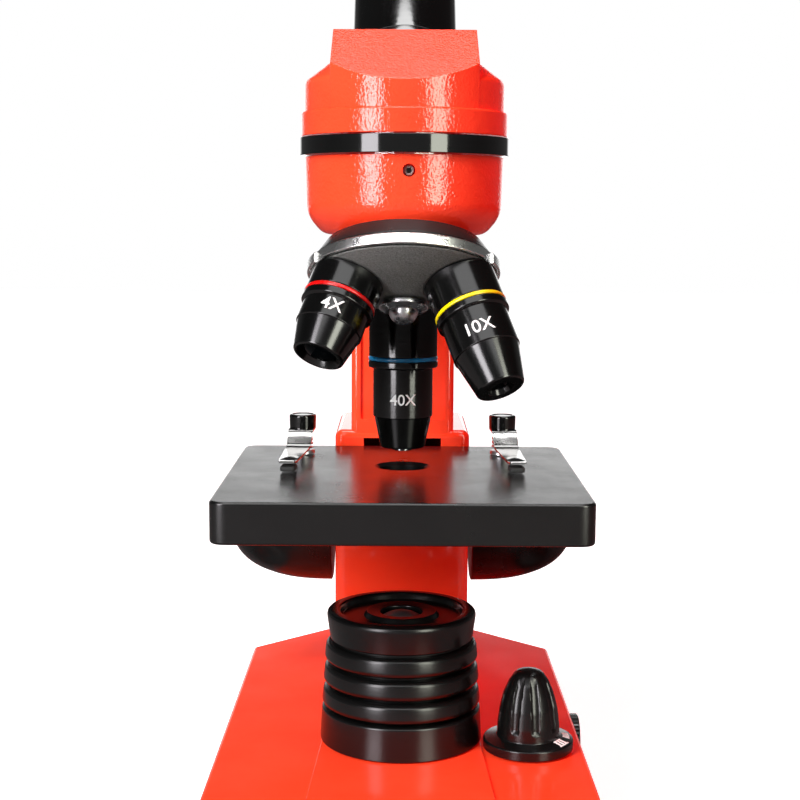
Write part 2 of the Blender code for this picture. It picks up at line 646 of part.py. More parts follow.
def make_head():
    """The turning head: a drum with a conical roof, a slanted block that carries the tube, and a hollow inside."""
    base = HEAD_RING_TOP + GAP
    block_radius = 26.1 * MM
    neck_radius = block_radius - 0.1 * MM
    roof_run = 14 * MM
    roof_top = ROOF_START + roof_run * math.tan(37 * DEGREE)
    profile = [
        (0, roof_top), (neck_radius - roof_run, roof_top), (neck_radius, ROOF_START),
        (neck_radius, HEAD_RIDGE + 0.2 * MM), (HEAD_RADIUS - 0.3 * MM, HEAD_RIDGE),
        (HEAD_RADIUS, HEAD_RIDGE - 0.5 * MM), (HEAD_RADIUS, base), (0, base),
    ]
    housing = turned("head_housing", profile, ORANGE, FINE)
    block_half_width = 18.6 * MM
    slab_half = block_half_width - GAP
    cut(housing, block("roof_slab", (-slab_half, -60 * MM, 200 * MM), (slab_half, 60 * MM, 260 * MM)))
    face_y = TUBE_FACE * math.sin(TUBE_LEAN)
    face_z = TUBE_ORIGIN_Z + TUBE_FACE * math.cos(TUBE_LEAN)
    step = 17.2 * MM * math.sin(TUBE_LEAN)
    peak = (face_y - step, face_z + step)
    heel = (face_y + step, face_z - step)
    brow_y = -30 * MM
    brow_z = peak[1] - (peak[0] - brow_y) * math.tan(30 * DEGREE)
    block_foot = base + 1.6 * MM
    outline = [(brow_y, block_foot), (heel[0], block_foot), heel, peak, (brow_y, brow_z)]
    head_block = plate("head_block", [outline], 2 * block_half_width, turn=SIDEWAYS)
    envelope = drum("head_envelope", block_radius, base, 240 * MM, steps=FINE)
    soften(head_block, 0.5 * MM, 1)
    boolean(head_block, envelope, "INTERSECT")
    join(housing, head_block)
    hollow = turned("head_hollow", [(0, 203 * MM), (12 * MM, 203 * MM), (20 * MM, 196 * MM),
                                    (22.5 * MM, 196 * MM), (22.5 * MM, 180 * MM), (0, 180 * MM)], steps=MEDIUM)
    socket = drum("tube_socket", TUBE_SPIGOT + GAP, 4 * MM, 60 * MM, steps=MEDIUM, parent=TUBE)
    spot_face = drum("tube_spot_face", TUBE_FLANGE + 0.8 * MM, TUBE_FACE, 60 * MM, steps=FINE, parent=TUBE)
    cut(housing, hollow, socket, spot_face)

    flange_top = base + 2.6 * MM
    flange_profile = [
        (LIGHT_RADIUS, flange_top), (22.2 * MM, flange_top), (22.2 * MM, base),
        (SPIGOT_RADIUS, base), (SPIGOT_RADIUS, LOCK_Z + 2 * MM), (SPIGOT_RADIUS - 1.2 * MM, LOCK_Z + 1 * MM),
        (SPIGOT_RADIUS - 1.2 * MM, LOCK_Z - 1 * MM), (SPIGOT_RADIUS, LOCK_Z - 2 * MM),
        (SPIGOT_RADIUS, SPIGOT_BOTTOM), (LIGHT_RADIUS, SPIGOT_BOTTOM),
    ]
    turned("head_flange", flange_profile, ALUMINIUM, MEDIUM)
    seat = flange_top + GAP
    prism_outline = [(-9 * MM, seat), (8.5 * MM, seat), (8.5 * MM, seat + 1.2 * MM), (-2 * MM, seat + 6 * MM),
                     (-9 * MM, seat + 4 * MM)]
    plate("prism", [prism_outline], 17 * MM, GLASS, turn=SIDEWAYS)


def make_eyepiece():
    """The tube fixed to the head, and the drop-in eyepiece with its two lenses and rubber rim."""
    foot = TUBE_FACE + GAP
    flange = TUBE_FLANGE
    spigot_end = 13.2 * MM
    tube = [
        (TUBE_BORE, TUBE_END), (TUBE_RADIUS - 0.5 * MM, TUBE_END), (TUBE_RADIUS, TUBE_END - 0.5 * MM),
        (TUBE_RADIUS, foot + 3.6 * MM), (flange - 0.6 * MM, foot + 3 * MM), (flange, foot + 2.4 * MM),
        (flange, foot), (TUBE_SPIGOT, foot), (TUBE_SPIGOT, spigot_end), (TUBE_BORE, spigot_end),
    ]
    turned("eyepiece_tube", tube, BLACK_PAINT, MEDIUM, parent=TUBE)
    shoulder = TUBE_END + GAP
    barrel_radius = TUBE_BORE - GAP
    bore = 9.6 * MM
    cap = [
        (8.2 * MM, EYEPIECE_END - 1.6 * MM), (10.6 * MM, EYEPIECE_END - 1.6 * MM),
        (13.4 * MM, EYEPIECE_END - 5.2 * MM), (14.2 * MM, EYEPIECE_END - 6.4 * MM), (14.2 * MM, shoulder),
        (barrel_radius, shoulder), (barrel_radius, TUBE_END - 29 * MM), (bore, TUBE_END - 29 * MM),
        (bore, EYEPIECE_END - 6 * MM), (8.2 * MM, EYEPIECE_END - 6 * MM),
    ]
    turned("eyepiece_barrel", cap, BLACK_PAINT, MEDIUM, parent=TUBE)
    lens_seat = EYEPIECE_END - 6 * MM
    lens = [(0, lens_seat + 3.6 * MM), (4.6 * MM, lens_seat + 3.1 * MM), (7.9 * MM, lens_seat + 1.8 * MM)]
    lens += [(7.9 * MM, lens_seat), (0, lens_seat)]
    turned("eye_lens", lens, GLASS, COARSE, parent=TUBE)
    field_seat = TUBE_END - 29 * MM
    field = [(0, field_seat + 3 * MM), (bore - GAP, field_seat + 1.4 * MM), (bore - GAP, field_seat + 0.2 * MM)]
    field += [(0, field_seat + 0.2 * MM)]
    turned("field_lens", field, GLASS, COARSE, parent=TUBE)
    rim = EYEPIECE_END
    cup = [
        (9 * MM, rim), (10.8 * MM, rim), (12.2 * MM, rim - 1.2 * MM), (15.2 * MM, rim - 5.4 * MM),
        (15.2 * MM, rim - 9 * MM), (14.5 * MM, rim - 9 * MM), (14.5 * MM, rim - 6.2 * MM),
        (13.6 * MM, rim - 4.9 * MM), (10.9 * MM, rim - 1.3 * MM), (9 * MM, rim - 1.3 * MM),
    ]
    turned("eyecup", cup, RUBBER, MEDIUM, parent=TUBE)


DISC_CENTRE = (-17 * MM, -4 * MM)
DISC_RADIUS = 24.4 * MM
CLIP_X = 28 * MM
CLIP_Y = 20 * MM
STEM_RADIUS = 1.4 * MM


def make_stage():
    bottom = STAGE_TOP - STAGE_THICKNESS
    outline = rounded_rectangle(-STAGE_HALF_WIDTH, STAGE_HALF_WIDTH, STAGE_FRONT, STAGE_REAR, 4.5 * MM, 3)
    stage = plate("stage_plate", [outline], STAGE_THICKNESS, SATIN_BLACK, at=(0, 0, STAGE_TOP - STAGE_THICKNESS / 2))
    soften(stage, 0.8 * MM)
    cut(stage, drum("stage_hole", STAGE_HOLE, 80 * MM, 120 * MM, steps=MEDIUM))
    cut(stage, drum("disc_screw_hole", 2.1 * MM, 80 * MM, bottom + 4.5 * MM, steps=COARSE, at=(*DISC_CENTRE, 0)))
    for side in (-1, 1):
        cut(stage, drum("stem_hole", STEM_RADIUS + GAP, STAGE_TOP - 6 * MM, 120 * MM, steps=COARSE,
                        at=(side * CLIP_X, CLIP_Y, 0)))

    foot_top = bottom - GAP
    foot_bottom = foot_top - 6.2 * MM
    web_front = STAGE_REAR + GAP
    web_top = 103.4 * MM
    block_front = CAVITY_FRONT + GAP
    bracket_outline = [
        (20 * MM, foot_bottom), (block_front + 3 * MM, foot_bottom), (block_front + 3 * MM, web_top),
        (web_front, web_top), (web_front, foot_top), (20 * MM, foot_top),
    ]
    carriage = plate("stage_carriage", [bracket_outline], 18 * MM, BLACK_PAINT, turn=SIDEWAYS)
    slide = CAVITY_HALF_WIDTH - GAP
    carriage_block = block("carriage_block", (-slide, block_front, RACK_BOTTOM), (slide, RACK_BACK - GAP, web_top))
    join(carriage, carriage_block)


def aperture_disc():
    """The disc under the stage: five holes on one circle, the widest of them under the stage hole."""
    hole_circle = math.hypot(*DISC_CENTRE)
    first = math.degrees(math.atan2(-DISC_CENTRE[1], -DISC_CENTRE[0]))
    outlines = [arc(0, 0, DISC_RADIUS, 0, 360, FINE)[:-1], arc(0, 0, 2.1 * MM, 0, 360, 10)[:-1]]
    for number, radius in enumerate((5, 4, 3, 2, 1)):
        angle = (first + 72 * number) * DEGREE
        centre = (hole_circle * math.cos(angle), hole_circle * math.sin(angle))
        outlines.append(arc(*centre, radius * MM, 0, 360, 12)[:-1])
    disc_top = STAGE_TOP - STAGE_THICKNESS - GAP
    thickness = 1.5 * MM
    plate("diaphragm_disc", outlines, thickness, BLACK_PAINT, at=(*DISC_CENTRE, disc_top - thickness / 2))
    head_top = disc_top - thickness - GAP
    screw = [
        (0, disc_top + 3.6 * MM), (1.8 * MM, disc_top + 3.6 * MM), (1.8 * MM, head_top), (3.4 * MM, head_top),
        (3 * MM, head_top - 1.2 * MM), (0, head_top - 1.5 * MM),
    ]
    turned("diaphragm_screw", screw, STEEL, COARSE, at=(*DISC_CENTRE, 0))


RACK_BOTTOM = 71 * MM
RACK_TOP = 94 * MM
RACK_PITCH_LINE = FOCUS_Y - PITCH_RADIUS
RACK_BACK = 47.4 * MM
GEAR_WIDTH = 8 * MM
BACKLASH = 0.12 * MM


def rack_outline():
    """Straight-sided teeth in the YZ plane, a gap between two teeth facing the pinion's axis at rest."""
    pitch = math.pi * GEAR_MODULE
    crest = RACK_PITCH_LINE + 0.9 * GEAR_MODULE
    root = RACK_PITCH_LINE - 1.2 * GEAR_MODULE
    slant = math.tan(PRESSURE_ANGLE)
    half_pitch_line = pitch / 4 - BACKLASH / 2
    half_crest = half_pitch_line - (crest - RACK_PITCH_LINE) * slant
    half_root = half_pitch_line + (RACK_PITCH_LINE - root) * slant
    outline = [(RACK_BACK, RACK_BOTTOM), (root, RACK_BOTTOM)]
    first = math.ceil((RACK_BOTTOM + half_root - FOCUS_Z) / pitch - 0.5) + 0.5
    centre = FOCUS_Z + first * pitch
    while centre + half_root < RACK_TOP:
        outline += [
            (root, centre - half_root), (crest, centre - half_crest),
            (crest, centre + half_crest), (root, centre + half_root),
        ]
        centre += pitch
    return outline + [(root, RACK_TOP), (RACK_BACK, RACK_TOP)]


def involute(base, radius):
    """Angle that an involute has turned through where it reaches a radius."""
    pressure = math.acos(min(1, base / radius))
    return math.tan(pressure) - pressure


def pinion_outline():
    """Involute teeth about the origin, one of them pointing at the rack."""
    base = PITCH_RADIUS * math.cos(PRESSURE_ANGLE)
    tip = PITCH_RADIUS + 0.9 * GEAR_MODULE
    root = PITCH_RADIUS - 1.2 * GEAR_MODULE
    half_tooth = (math.pi / 2 * GEAR_MODULE - BACKLASH) / 2 / PITCH_RADIUS
    at_pitch = involute(base, PITCH_RADIUS)
    steps = 2
    flank = []
    for step in range(steps + 1):
        radius = base + (tip - base) * step / steps
        flank.append((radius, half_tooth + at_pitch - involute(base, radius)))
    flank.insert(0, (root, flank[0][1]))
    outline = []
    for tooth in range(PINION_TEETH):
        middle = math.pi + tooth * 2 * math.pi / PINION_TEETH
        polar = [(radius, middle - turn) for radius, turn in flank]
        polar += [(radius, middle + turn) for radius, turn in reversed(flank)]
        outline += [(radius * math.cos(angle), radius * math.sin(angle)) for radius, angle in polar]
    return outline


def make_focus_drive():
    """Rack on the carriage, pinion on the cross shaft, and the two knobs."""
    place = (0, FOCUS_Y, FOCUS_Z)
    plate("focus_rack", [rack_outline()], GEAR_WIDTH, BRASS, turn=SIDEWAYS)
    bore = arc(0, 0, SHAFT_RADIUS + GAP, 0, 360, 20)[:-1]
    plate("focus_pinion", [pinion_outline(), bore], GEAR_WIDTH, BRASS, at=place, turn=SIDEWAYS)
    shaft_end = 45 * MM
    drum("focus_shaft", SHAFT_RADIUS, -shaft_end, shaft_end, STEEL, COARSE, at=place, turn=(0, 90 * DEGREE, 0))

    inner = COLUMN_HALF_WIDTH + 1.6 * MM
    length = KNOB_END - inner
    knob_radius = 18 * MM
    roundness = 2.45
    steps = 7
    outer = []
    for step in range(steps + 1):
        angle = (90 - 90 * step / steps) * DEGREE
        reach = length * math.sin(angle) ** (2 / roundness)
        radius = knob_radius * max(0.0, math.cos(angle)) ** (2 / roundness)
        outer.append((radius, inner + reach))
    outer[0] = (0, KNOB_END)
    bore_radius = SHAFT_RADIUS + GAP
    bore_end = shaft_end + GAP
    profile = outer + [(12 * MM, inner - 0.1 * MM), (bore_radius, inner + 0.2 * MM), (bore_radius, bore_end)]
    profile += [(0, bore_end)]
    for name, side_turn in (("focus_knob_right", 90), ("focus_knob_left", -90)):
        knob = turned(name, profile, BLACK_PLASTIC, MEDIUM, at=place, turn=(0, side_turn * DEGREE, 0))
        for number in range(6):
            around = number * 60 * DEGREE
            scoop_radius = 9 * MM
            offset = knob_radius + scoop_radius - 4 * MM
            bm = bmesh.new()
            centre = (offset * math.cos(around), offset * math.sin(around), inner + 21 * MM)
            bmesh.ops.create_uvsphere(bm, u_segments=12, v_segments=8, radius=scoop_radius,
                                      matrix=Matrix.Translation(centre))
            mesh = bpy.data.meshes.new("finger_dimple")
            bm.to_mesh(mesh)
            bm.free()
            cut(knob, add("finger_dimple", mesh, None, None, place, (0, side_turn * DEGREE, 0)))


def lever_mesh(name):
    """A sprung strip that bends down in front of its cap, then runs flat and narrows towards the tip."""
    stations = (
        (3.9, 6.95, 3.3), (2.6, 7.0, 3.5), (-3.9, 7.0, 3.5), (-4.8, 6.6, 3.5), (-9.3, 3.3, 3.3),
        (-10.4, 2.95, 3.2), (-20, 2.75, 2.9), (-27, 2.6, 2.6), (-31, 2.6, 2.4), (-33.5, 2.9, 2),
    )
    bm = bmesh.new()
    rows = []
    for y, z, half_width in stations:
        sides = (-half_width, half_width)
        rows.append([bm.verts.new((x * MM, y * MM, z * MM)) for x in sides])
    for (left, right), (next_left, next_right) in zip(rows, rows[1:]):
        bm.faces.new((left, next_left, next_right, right))
    mesh = bpy.data.meshes.new(name)
    bm.to_mesh(mesh)
    bm.free()
    return mesh


def make_clip(name, side):
    """One stage clip. Its frame stands on the stage at the stem, with the lever along -Y."""
    toe_out = 3.5 * DEGREE
    place = (side * CLIP_X, CLIP_Y, STAGE_TOP)
    frame = empty(name + "_axis", at=place, turn=(0, 0, side * toe_out), parent=AXIS)
    post_profile = [
        (0, 7.0 * MM), (STEM_RADIUS, 7.0 * MM), (STEM_RADIUS, 1.3 * MM), (3.2 * MM, 1.3 * MM),
        (3.4 * MM, GAP), (STEM_RADIUS, GAP), (STEM_RADIUS, -5.6 * MM), (0, -5.6 * MM),
    ]
    turned(name + "_post", post_profile, STEEL, COARSE, parent=frame)

    lever = add(name + "_lever", lever_mesh(name + "_lever"), CHROME, frame, (0, 0, 0), (0, 0, 0))
    solid = lever.modifiers.new("sheet", "SOLIDIFY")
    solid.thickness = 0.6 * MM
    solid.offset = -1
    cut(lever, drum(name + "_stem_hole", 2.2 * MM, 2 * MM, 12 * MM, steps=COARSE, parent=frame))

    cap_profile = [
        (0, 11.3 * MM), (3.1 * MM, 11.3 * MM), (3.75 * MM, 10.6 * MM), (3.75 * MM, 7.35 * MM),
        (2.3 * MM, 7.35 * MM), (2.3 * MM, 9.3 * MM), (0, 9.3 * MM),
    ]
    turned(name + "_cap", cap_profile, BLACK_PLASTIC, COARSE, parent=frame)

    turns = 3
    points_per_turn = 8
    wire_radius = 0.35 * MM
    coil_radius = 2.55 * MM
    low = 1.3 * MM + GAP + wire_radius
    high = 6.4 * MM - GAP - wire_radius
    count = int(turns * points_per_turn)
    route = []
    for step in range(count + 1):
        angle = side * 2 * math.pi * step / points_per_turn
        height = low + (high - low) * step / count
        route.append((coil_radius * math.cos(angle), coil_radius * math.sin(angle), height))
    wire(name + "_spring", route, wire_radius, STEEL, 1, parent=frame)

    pad_outline = rounded_rectangle(-2 * MM, 2 * MM, -32.5 * MM, -27 * MM, 1 * MM, 3)
    plate(name + "_pad", [pad_outline], 1.3 * MM, RUBBER, parent=frame, at=(0, 0, 1 * MM))


def make_selector_knob():
    """Bullet-shaped knob on a wide skirt, its spindle through the base top, with nine flutes."""
    skirt = 12.1 * MM
    foot = BASE_TOP + 0.5 * MM
    profile = [
        (0, 52.2 * MM), (2.3 * MM, 52.1 * MM), (3.7 * MM, 51.3 * MM), (5.4 * MM, 48.8 * MM), (6.8 * MM, 45.6 * MM),
        (7.7 * MM, 42 * MM), (8.3 * MM, 37.4 * MM), (8.4 * MM, 34.4 * MM), (8.9 * MM, 33.9 * MM),
        (skirt - 0.6 * MM, 33.2 * MM), (skirt, 32.7 * MM), (skirt, foot), (SPINDLE_RADIUS, foot),
        (SPINDLE_RADIUS, 20 * MM), (0, 20 * MM),
    ]
    knob = turned("light_selector_knob", profile, BLACK_PLASTIC, 36, at=(*SELECTOR, 0))
    route = [(9.05, 36.2), (9, 38), (8.5, 42), (7.65, 45.8), (6.3, 49), (5.5, 50.4)]
    for number in range(9):
        points = [(radius * MM, 0, height * MM) for radius, height in route]
        around = (0, 0, number * 40 * DEGREE)
        flute = wire(f"flute_{number}", points, 1.25 * MM, sides=1, at=(*SELECTOR, 0), turn=around)
        cut(knob, flute)


def make_brightness_knob():
    """The dial in the right wall that dims the lamp."""
    wall = BASE_HALF_WIDTH
    end = KNOB_END
    radius = 7.5 * MM
    profile = [
        (0, end - 0.2 * MM), (radius - 1.6 * MM, end - 0.2 * MM), (radius - 1.2 * MM, end), (radius - 0.4 * MM, end),
        (radius, end - 0.4 * MM), (radius, wall + GAP), (SPINDLE_RADIUS, wall + GAP),
        (SPINDLE_RADIUS, wall - 12 * MM), (0, wall - 12 * MM),
    ]
    turned("brightness_knob", profile, BLACK_PLASTIC, MEDIUM, at=(0, DIAL_Y, DIAL_Z), turn=(0, 90 * DEGREE, 0))


make_base()
make_base_plate()
make_power_socket()
make_lamp()
make_arm()
make_arm_fittings()
make_nosepiece()
make_objectives()
make_head()
make_eyepiece()
make_stage()
aperture_disc()
make_focus_drive()
make_clip("clip_left", -1)
make_clip("clip_right", 1)
make_selector_knob()
make_brightness_knob()

for piece in PARTS.objects:
    if piece.type == "MESH":
        smooth(piece.data)
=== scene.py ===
# %% [markdown]
# # A student's compound microscope
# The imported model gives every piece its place, its size and its motion, and this notebook gives it its
# looks. The cells go through the microscope from the base to the eyepiece, with the finishes first. Each
# piece is built on its own axis, moved to its place in its mesh, and then hung on the body that carries it.

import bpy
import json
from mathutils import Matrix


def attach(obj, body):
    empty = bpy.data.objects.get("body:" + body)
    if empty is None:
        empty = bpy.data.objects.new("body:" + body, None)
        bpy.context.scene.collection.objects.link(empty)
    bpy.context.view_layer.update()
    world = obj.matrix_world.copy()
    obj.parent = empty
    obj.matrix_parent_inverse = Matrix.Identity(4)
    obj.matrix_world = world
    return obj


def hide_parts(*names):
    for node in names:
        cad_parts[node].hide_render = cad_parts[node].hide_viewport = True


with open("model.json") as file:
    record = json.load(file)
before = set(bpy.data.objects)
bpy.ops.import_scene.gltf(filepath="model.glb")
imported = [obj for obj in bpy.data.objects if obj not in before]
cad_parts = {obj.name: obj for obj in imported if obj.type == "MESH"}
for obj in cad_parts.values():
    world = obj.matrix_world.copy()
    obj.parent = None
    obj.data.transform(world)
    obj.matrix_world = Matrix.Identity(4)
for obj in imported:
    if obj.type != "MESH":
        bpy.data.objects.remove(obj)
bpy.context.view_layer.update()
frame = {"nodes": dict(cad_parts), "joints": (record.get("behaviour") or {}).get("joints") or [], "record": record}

# %% [markdown]
# ## Axes
# A microscope is a set of parts on a few axes: the upright optical axis, the tilted axis of the nosepiece,
# one axis for each objective, and the slanted axis of the tube. The numbers could be typed in again, but
# the joints of the imported model already hold them. So each axis that has a joint is read from it, the
# tube's height and slant are given as numbers, and each axis becomes a matrix that places pieces. Blender
# counts in metres, while every length in this notebook is in millimetres, and the tools below convert it.

# %% Read the axes from the joints
import json
import math
from collections import namedtuple

import bmesh
import bpy
from mathutils import Matrix, Vector

MM = 0.001
DEGREE = math.pi / 180
JOINTS = {joint["name"]: joint for joint in frame["joints"]}


def at(x, y, z):
    """A shift in millimetres."""
    return Matrix.Translation((x * MM, y * MM, z * MM))


def rotate(degrees, axis):
    return Matrix.Rotation(degrees * DEGREE, 4, axis)


def joint_place(name):
    return Matrix.Translation(JOINTS[name]["pos_m"])


optical_y = JOINTS["head_turn"]["pos_m"][1]
turret_axis = Vector(JOINTS["turret_turn"]["axis"])
tilt = math.atan2(-turret_axis.y, -turret_axis.z) / DEGREE
TUBE_FOOT_HEIGHT = 196.4
TUBE_SLANT = 45
OPTICAL = Matrix.Translation((0, optical_y, 0))
TURRET = joint_place("turret_turn") @ rotate(-tilt, "X")
FOCUS = joint_place("focus_turn") @ rotate(90, "Y")
TUBE = OPTICAL @ at(0, 0, TUBE_FOOT_HEIGHT) @ rotate(-TUBE_SLANT, "X")


def objective_axis(index):
    """The axis of one of the three objectives, its -Z pointing out of the nosepiece."""
    return TURRET @ rotate(index * 120, "Z") @ rotate(tilt, "X")


print("nosepiece tilt in degrees:", round(tilt, 2))

# %% [markdown]
# ## Tools for making pieces
# Most pieces are turned on a lathe or cut from a flat outline, and what sells them is the small rounding of
# every edge, because that is where a soft light shows as a line. A Bevel modifier could round everything,
# but on a turned piece it is simpler to round the corners of the profile before it is spun.

# %% Rounded outlines, turned pieces and slabs
def rounded(corners, steps=4):
    """Points of an outline. A corner that comes with a third number is rounded to that radius."""
    points = []
    for index, corner in enumerate(corners):
        here = Vector(corner[:2])
        if len(corner) == 2:
            points.append(here)
            continue
        back = (Vector(corners[index - 1][:2]) - here).normalized()
        ahead = (Vector(corners[(index + 1) % len(corners)][:2]) - here).normalized()
        reach = corner[2] / math.tan(back.angle(ahead) / 2)
        for step in range(steps + 1):
            share = step / steps
            points.append(here + back * reach * (1 - share) ** 2 + ahead * reach * share**2)
    return points


def arc(centre_x, centre_y, radius, start, end, steps):
    """Points on an arc, its angles in degrees."""
    angles = [(start + (end - start) * step / steps) * DEGREE for step in range(steps + 1)]
    return [(centre_x + radius * math.cos(angle), centre_y + radius * math.sin(angle)) for angle in angles]


def rectangle(half_x, near, far, radius):
    """A rectangle's corners with one rounding, left and right alike."""
    return [(-half_x, near, radius), (half_x, near, radius), (half_x, far, radius), (-half_x, far, radius)]


WELD = 0.002 * MM


def in_metres(corners):
    return [[length * MM for length in corner] for corner in corners]


def piece_from(name, bm, place):
    """Close the seams, turn the faces outwards and move the shape, while the object stays at the origin."""
    bmesh.ops.remove_doubles(bm, verts=bm.verts, dist=WELD)
    bmesh.ops.recalc_face_normals(bm, faces=bm.faces)
    mesh = bpy.data.meshes.new(name)
    bm.to_mesh(mesh)
    bm.free()
    mesh.transform(place)
    piece = bpy.data.objects.new(name, mesh)
    bpy.context.scene.collection.objects.link(piece)
    return piece


def turned(name, corners, place, sides=96, steps=4):
    """A profile of (radius, height) corners spun about Z. It is open at the axis, or a closed ring."""
    bm = bmesh.new()
    points = [bm.verts.new((radius, 0, height)) for radius, height in rounded(in_metres(corners), steps)]
    edges = [bm.edges.new(pair) for pair in zip(points, points[1:])]
    if corners[0][0] > 0:
        edges.append(bm.edges.new((points[-1], points[0])))
    bmesh.ops.spin(bm, geom=points + edges, axis=(0, 0, 1), angle=2 * math.pi, steps=sides)
    return piece_from(name, bm, place)


def slab(name, corners, low, high, place, steps=6):
    """A flat outline raised from one height to another."""
    bm = bmesh.new()
    face = bm.faces.new([bm.verts.new((x, y, low * MM)) for x, y in rounded(in_metres(corners), steps)])
    raised = bmesh.ops.extrude_face_region(bm, geom=[face])
    top = [item for item in raised["geom"] if isinstance(item, bmesh.types.BMVert)]
    bmesh.ops.translate(bm, verts=top, vec=(0, 0, high * MM - low * MM))
    return piece_from(name, bm, place)


def box(name, low, high, place):
    """A block between two corners, used to cut."""
    corners = [(low[0], low[1]), (high[0], low[1]), (high[0], high[1]), (low[0], high[1])]
    return slab(name, corners, low[2], high[2], place)


def rod(name, radius, low, high, place, sides=64):
    """A plain cylinder about Z, used to cut."""
    return turned(name, [(0, high), (radius, high), (radius, low), (0, low)], place, sides)


# %% Cutting, joining, easing edges
def settle(piece):
    """Make what the modifiers give the piece's own mesh."""
    graph = bpy.context.evaluated_depsgraph_get()
    mesh = bpy.data.meshes.new_from_object(piece.evaluated_get(graph))
    piece.modifiers.clear()
    piece.data = mesh
    return piece


def combine(piece, tools, operation):
    """Run one Boolean after the other, each with its tool, and clear the tools away."""
    for tool in tools:
        modifier = piece.modifiers.new("combine", "BOOLEAN")
        modifier.operation = operation
        modifier.object = tool
        settle(piece)
        bpy.data.objects.remove(tool)
    return piece


def cut(piece, *tools):
    return combine(piece, tools, "DIFFERENCE")


def join(piece, *tools):
    return combine(piece, tools, "UNION")


def ease(piece, width, segments=3, angle=30):
    """Round every edge that is sharper than the angle."""
    bevel = piece.modifiers.new("ease", "BEVEL")
    bevel.width = width * MM
    bevel.segments = segments
    bevel.limit_method = "ANGLE"
    bevel.angle_limit = angle * DEGREE
    return settle(piece)


def dress(piece, finish, slot, body, *nodes, sharp=32):
    """Shade a piece, give it its finish, hang it on the body that it moves with, and hide the imported pieces it
    replaces.
    """
    piece.data.materials.clear()
    piece.data.materials.append(finish)
    piece.data.shade_smooth()
    piece.data.set_sharp_from_angle(angle=sharp * DEGREE)
    normals = piece.modifiers.new("flat faces stay flat", "WEIGHTED_NORMAL")
    normals.keep_sharp = True
    settle(piece)
    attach(piece, body)
    if nodes:
        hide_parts(*nodes)
    low, high = Vector((1, 1, 1)), Vector((-1, -1, -1))
    for vertex in piece.data.vertices:
        low = Vector(map(min, low, vertex.co))
        high = Vector(map(max, high, vertex.co))
    size = [round(side / MM, 1) for side in high - low]
    print(f"{piece.name}: {len(piece.data.polygons)} faces, {size} mm")
    return piece


# %% [markdown]
# ## Shared surface effects
# Paint, moulded plastic and machined metal all differ from a flat colour in the same few ways: a fine
# relief that breaks a highlight up, and slow changes in gloss from handling. Each effect could be drawn
# again in every material. Here each is a node group with named inputs, built once and placed with other
# values in each material.

# %% Helpers for nodes
def node(tree, kind, settings=(), **inputs):
    """One node. Settings are its properties, and each input takes a value or another node's output."""
    made = tree.nodes.new(kind)
    for label, value in dict(settings).items():
        setattr(made, label, value)
    for label, value in inputs.items():
        socket = next(item for item in made.inputs if item.name == label.replace("_", " ") and item.enabled)
        if isinstance(value, bpy.types.NodeSocket):
            tree.links.new(value, socket)
        else:
            socket.default_value = value
    return made.outputs


def maths(tree, operation, first, second):
    """One Math node. Each operand is a number or another node's output."""
    made = tree.nodes.new("ShaderNodeMath")
    made.operation = operation
    for socket, operand in zip(made.inputs, (first, second)):
        if isinstance(operand, bpy.types.NodeSocket):
            tree.links.new(operand, socket)
        else:
            socket.default_value = operand
    return made.outputs["Value"]


def new_group(name, inputs, output):
    """An empty shader group with float inputs and one float output: the tree, its inputs and its end."""
    tree = bpy.data.node_groups.new(name, "ShaderNodeTree")
    for label, value in inputs.items():
        socket = tree.interface.new_socket(label, in_out="INPUT", socket_type="NodeSocketFloat")
        socket.default_value = value
    tree.interface.new_socket(output, in_out="OUTPUT", socket_type="NodeSocketFloat")
    end = tree.nodes.new("NodeGroupOutput")
    return tree, tree.nodes.new("NodeGroupInput").outputs, end.inputs[output]


def position(tree):
    return node(tree, "ShaderNodeTexCoord")["Object"]


def noise(tree, vector, scale, detail=2.0, roughness=0.5):
    values = {"Scale": scale, "Detail": detail, "Roughness": roughness}
    return node(tree, "ShaderNodeTexNoise", Vector=vector, **values)["Fac"]


# %% The effects
def make_wrinkle_group():
    """The relief of stoved wrinkle paint: small uneven pebbles, with slower waves beneath them."""
    tree, start, end = new_group("wrinkle relief", {"Pebbles per metre": 1500.0, "Waviness": 0.5}, "Height")
    place = position(tree)
    pebbles = noise(tree, place, start["Pebbles per metre"], 1.0)
    waves = noise(tree, place, maths(tree, "MULTIPLY", start["Pebbles per metre"], 0.3))
    waves = maths(tree, "MULTIPLY", waves, start["Waviness"])
    tree.links.new(maths(tree, "ADD", pebbles, waves), end)
    return tree


def make_grain_group():
    """The even fine grain of a moulding or a bead-blasted casting."""
    tree, start, end = new_group("fine grain", {"Grains per metre": 6000.0}, "Height")
    tree.links.new(noise(tree, position(tree), start["Grains per metre"], 3.0, 0.6), end)
    return tree


def make_handling_group():
    """Slow patches of more and less gloss, as hands and cloths leave them, from Least to Most."""
    tree, start, end = new_group("handling", {"Patches per metre": 60.0, "Least": 0.2, "Most": 0.3}, "Value")
    patches = noise(tree, position(tree), start["Patches per metre"], 5.0, 0.6)
    spread = node(
        tree, "ShaderNodeMapRange", Value=patches, From_Min=0.3, From_Max=0.7,
        To_Min=start["Least"], To_Max=start["Most"],
    )
    tree.links.new(spread["Result"], end)
    return tree


def make_lathe_group():
    """Fine rings left by a cutting tool, slightly uneven round the piece. Reads a turned coordinate."""
    tree, start, end = new_group("lathe marks", {"Rings per metre": 9000.0}, "Height")
    tree.interface.new_socket("Vector", in_out="INPUT", socket_type="NodeSocketVector")
    stretched = node(tree, "ShaderNodeMapping", Vector=start["Vector"], Scale=(0.01, 0.01, 1.0))["Vector"]
    tree.links.new(noise(tree, stretched, start["Rings per metre"], 2.0, 0.7), end)
    return tree


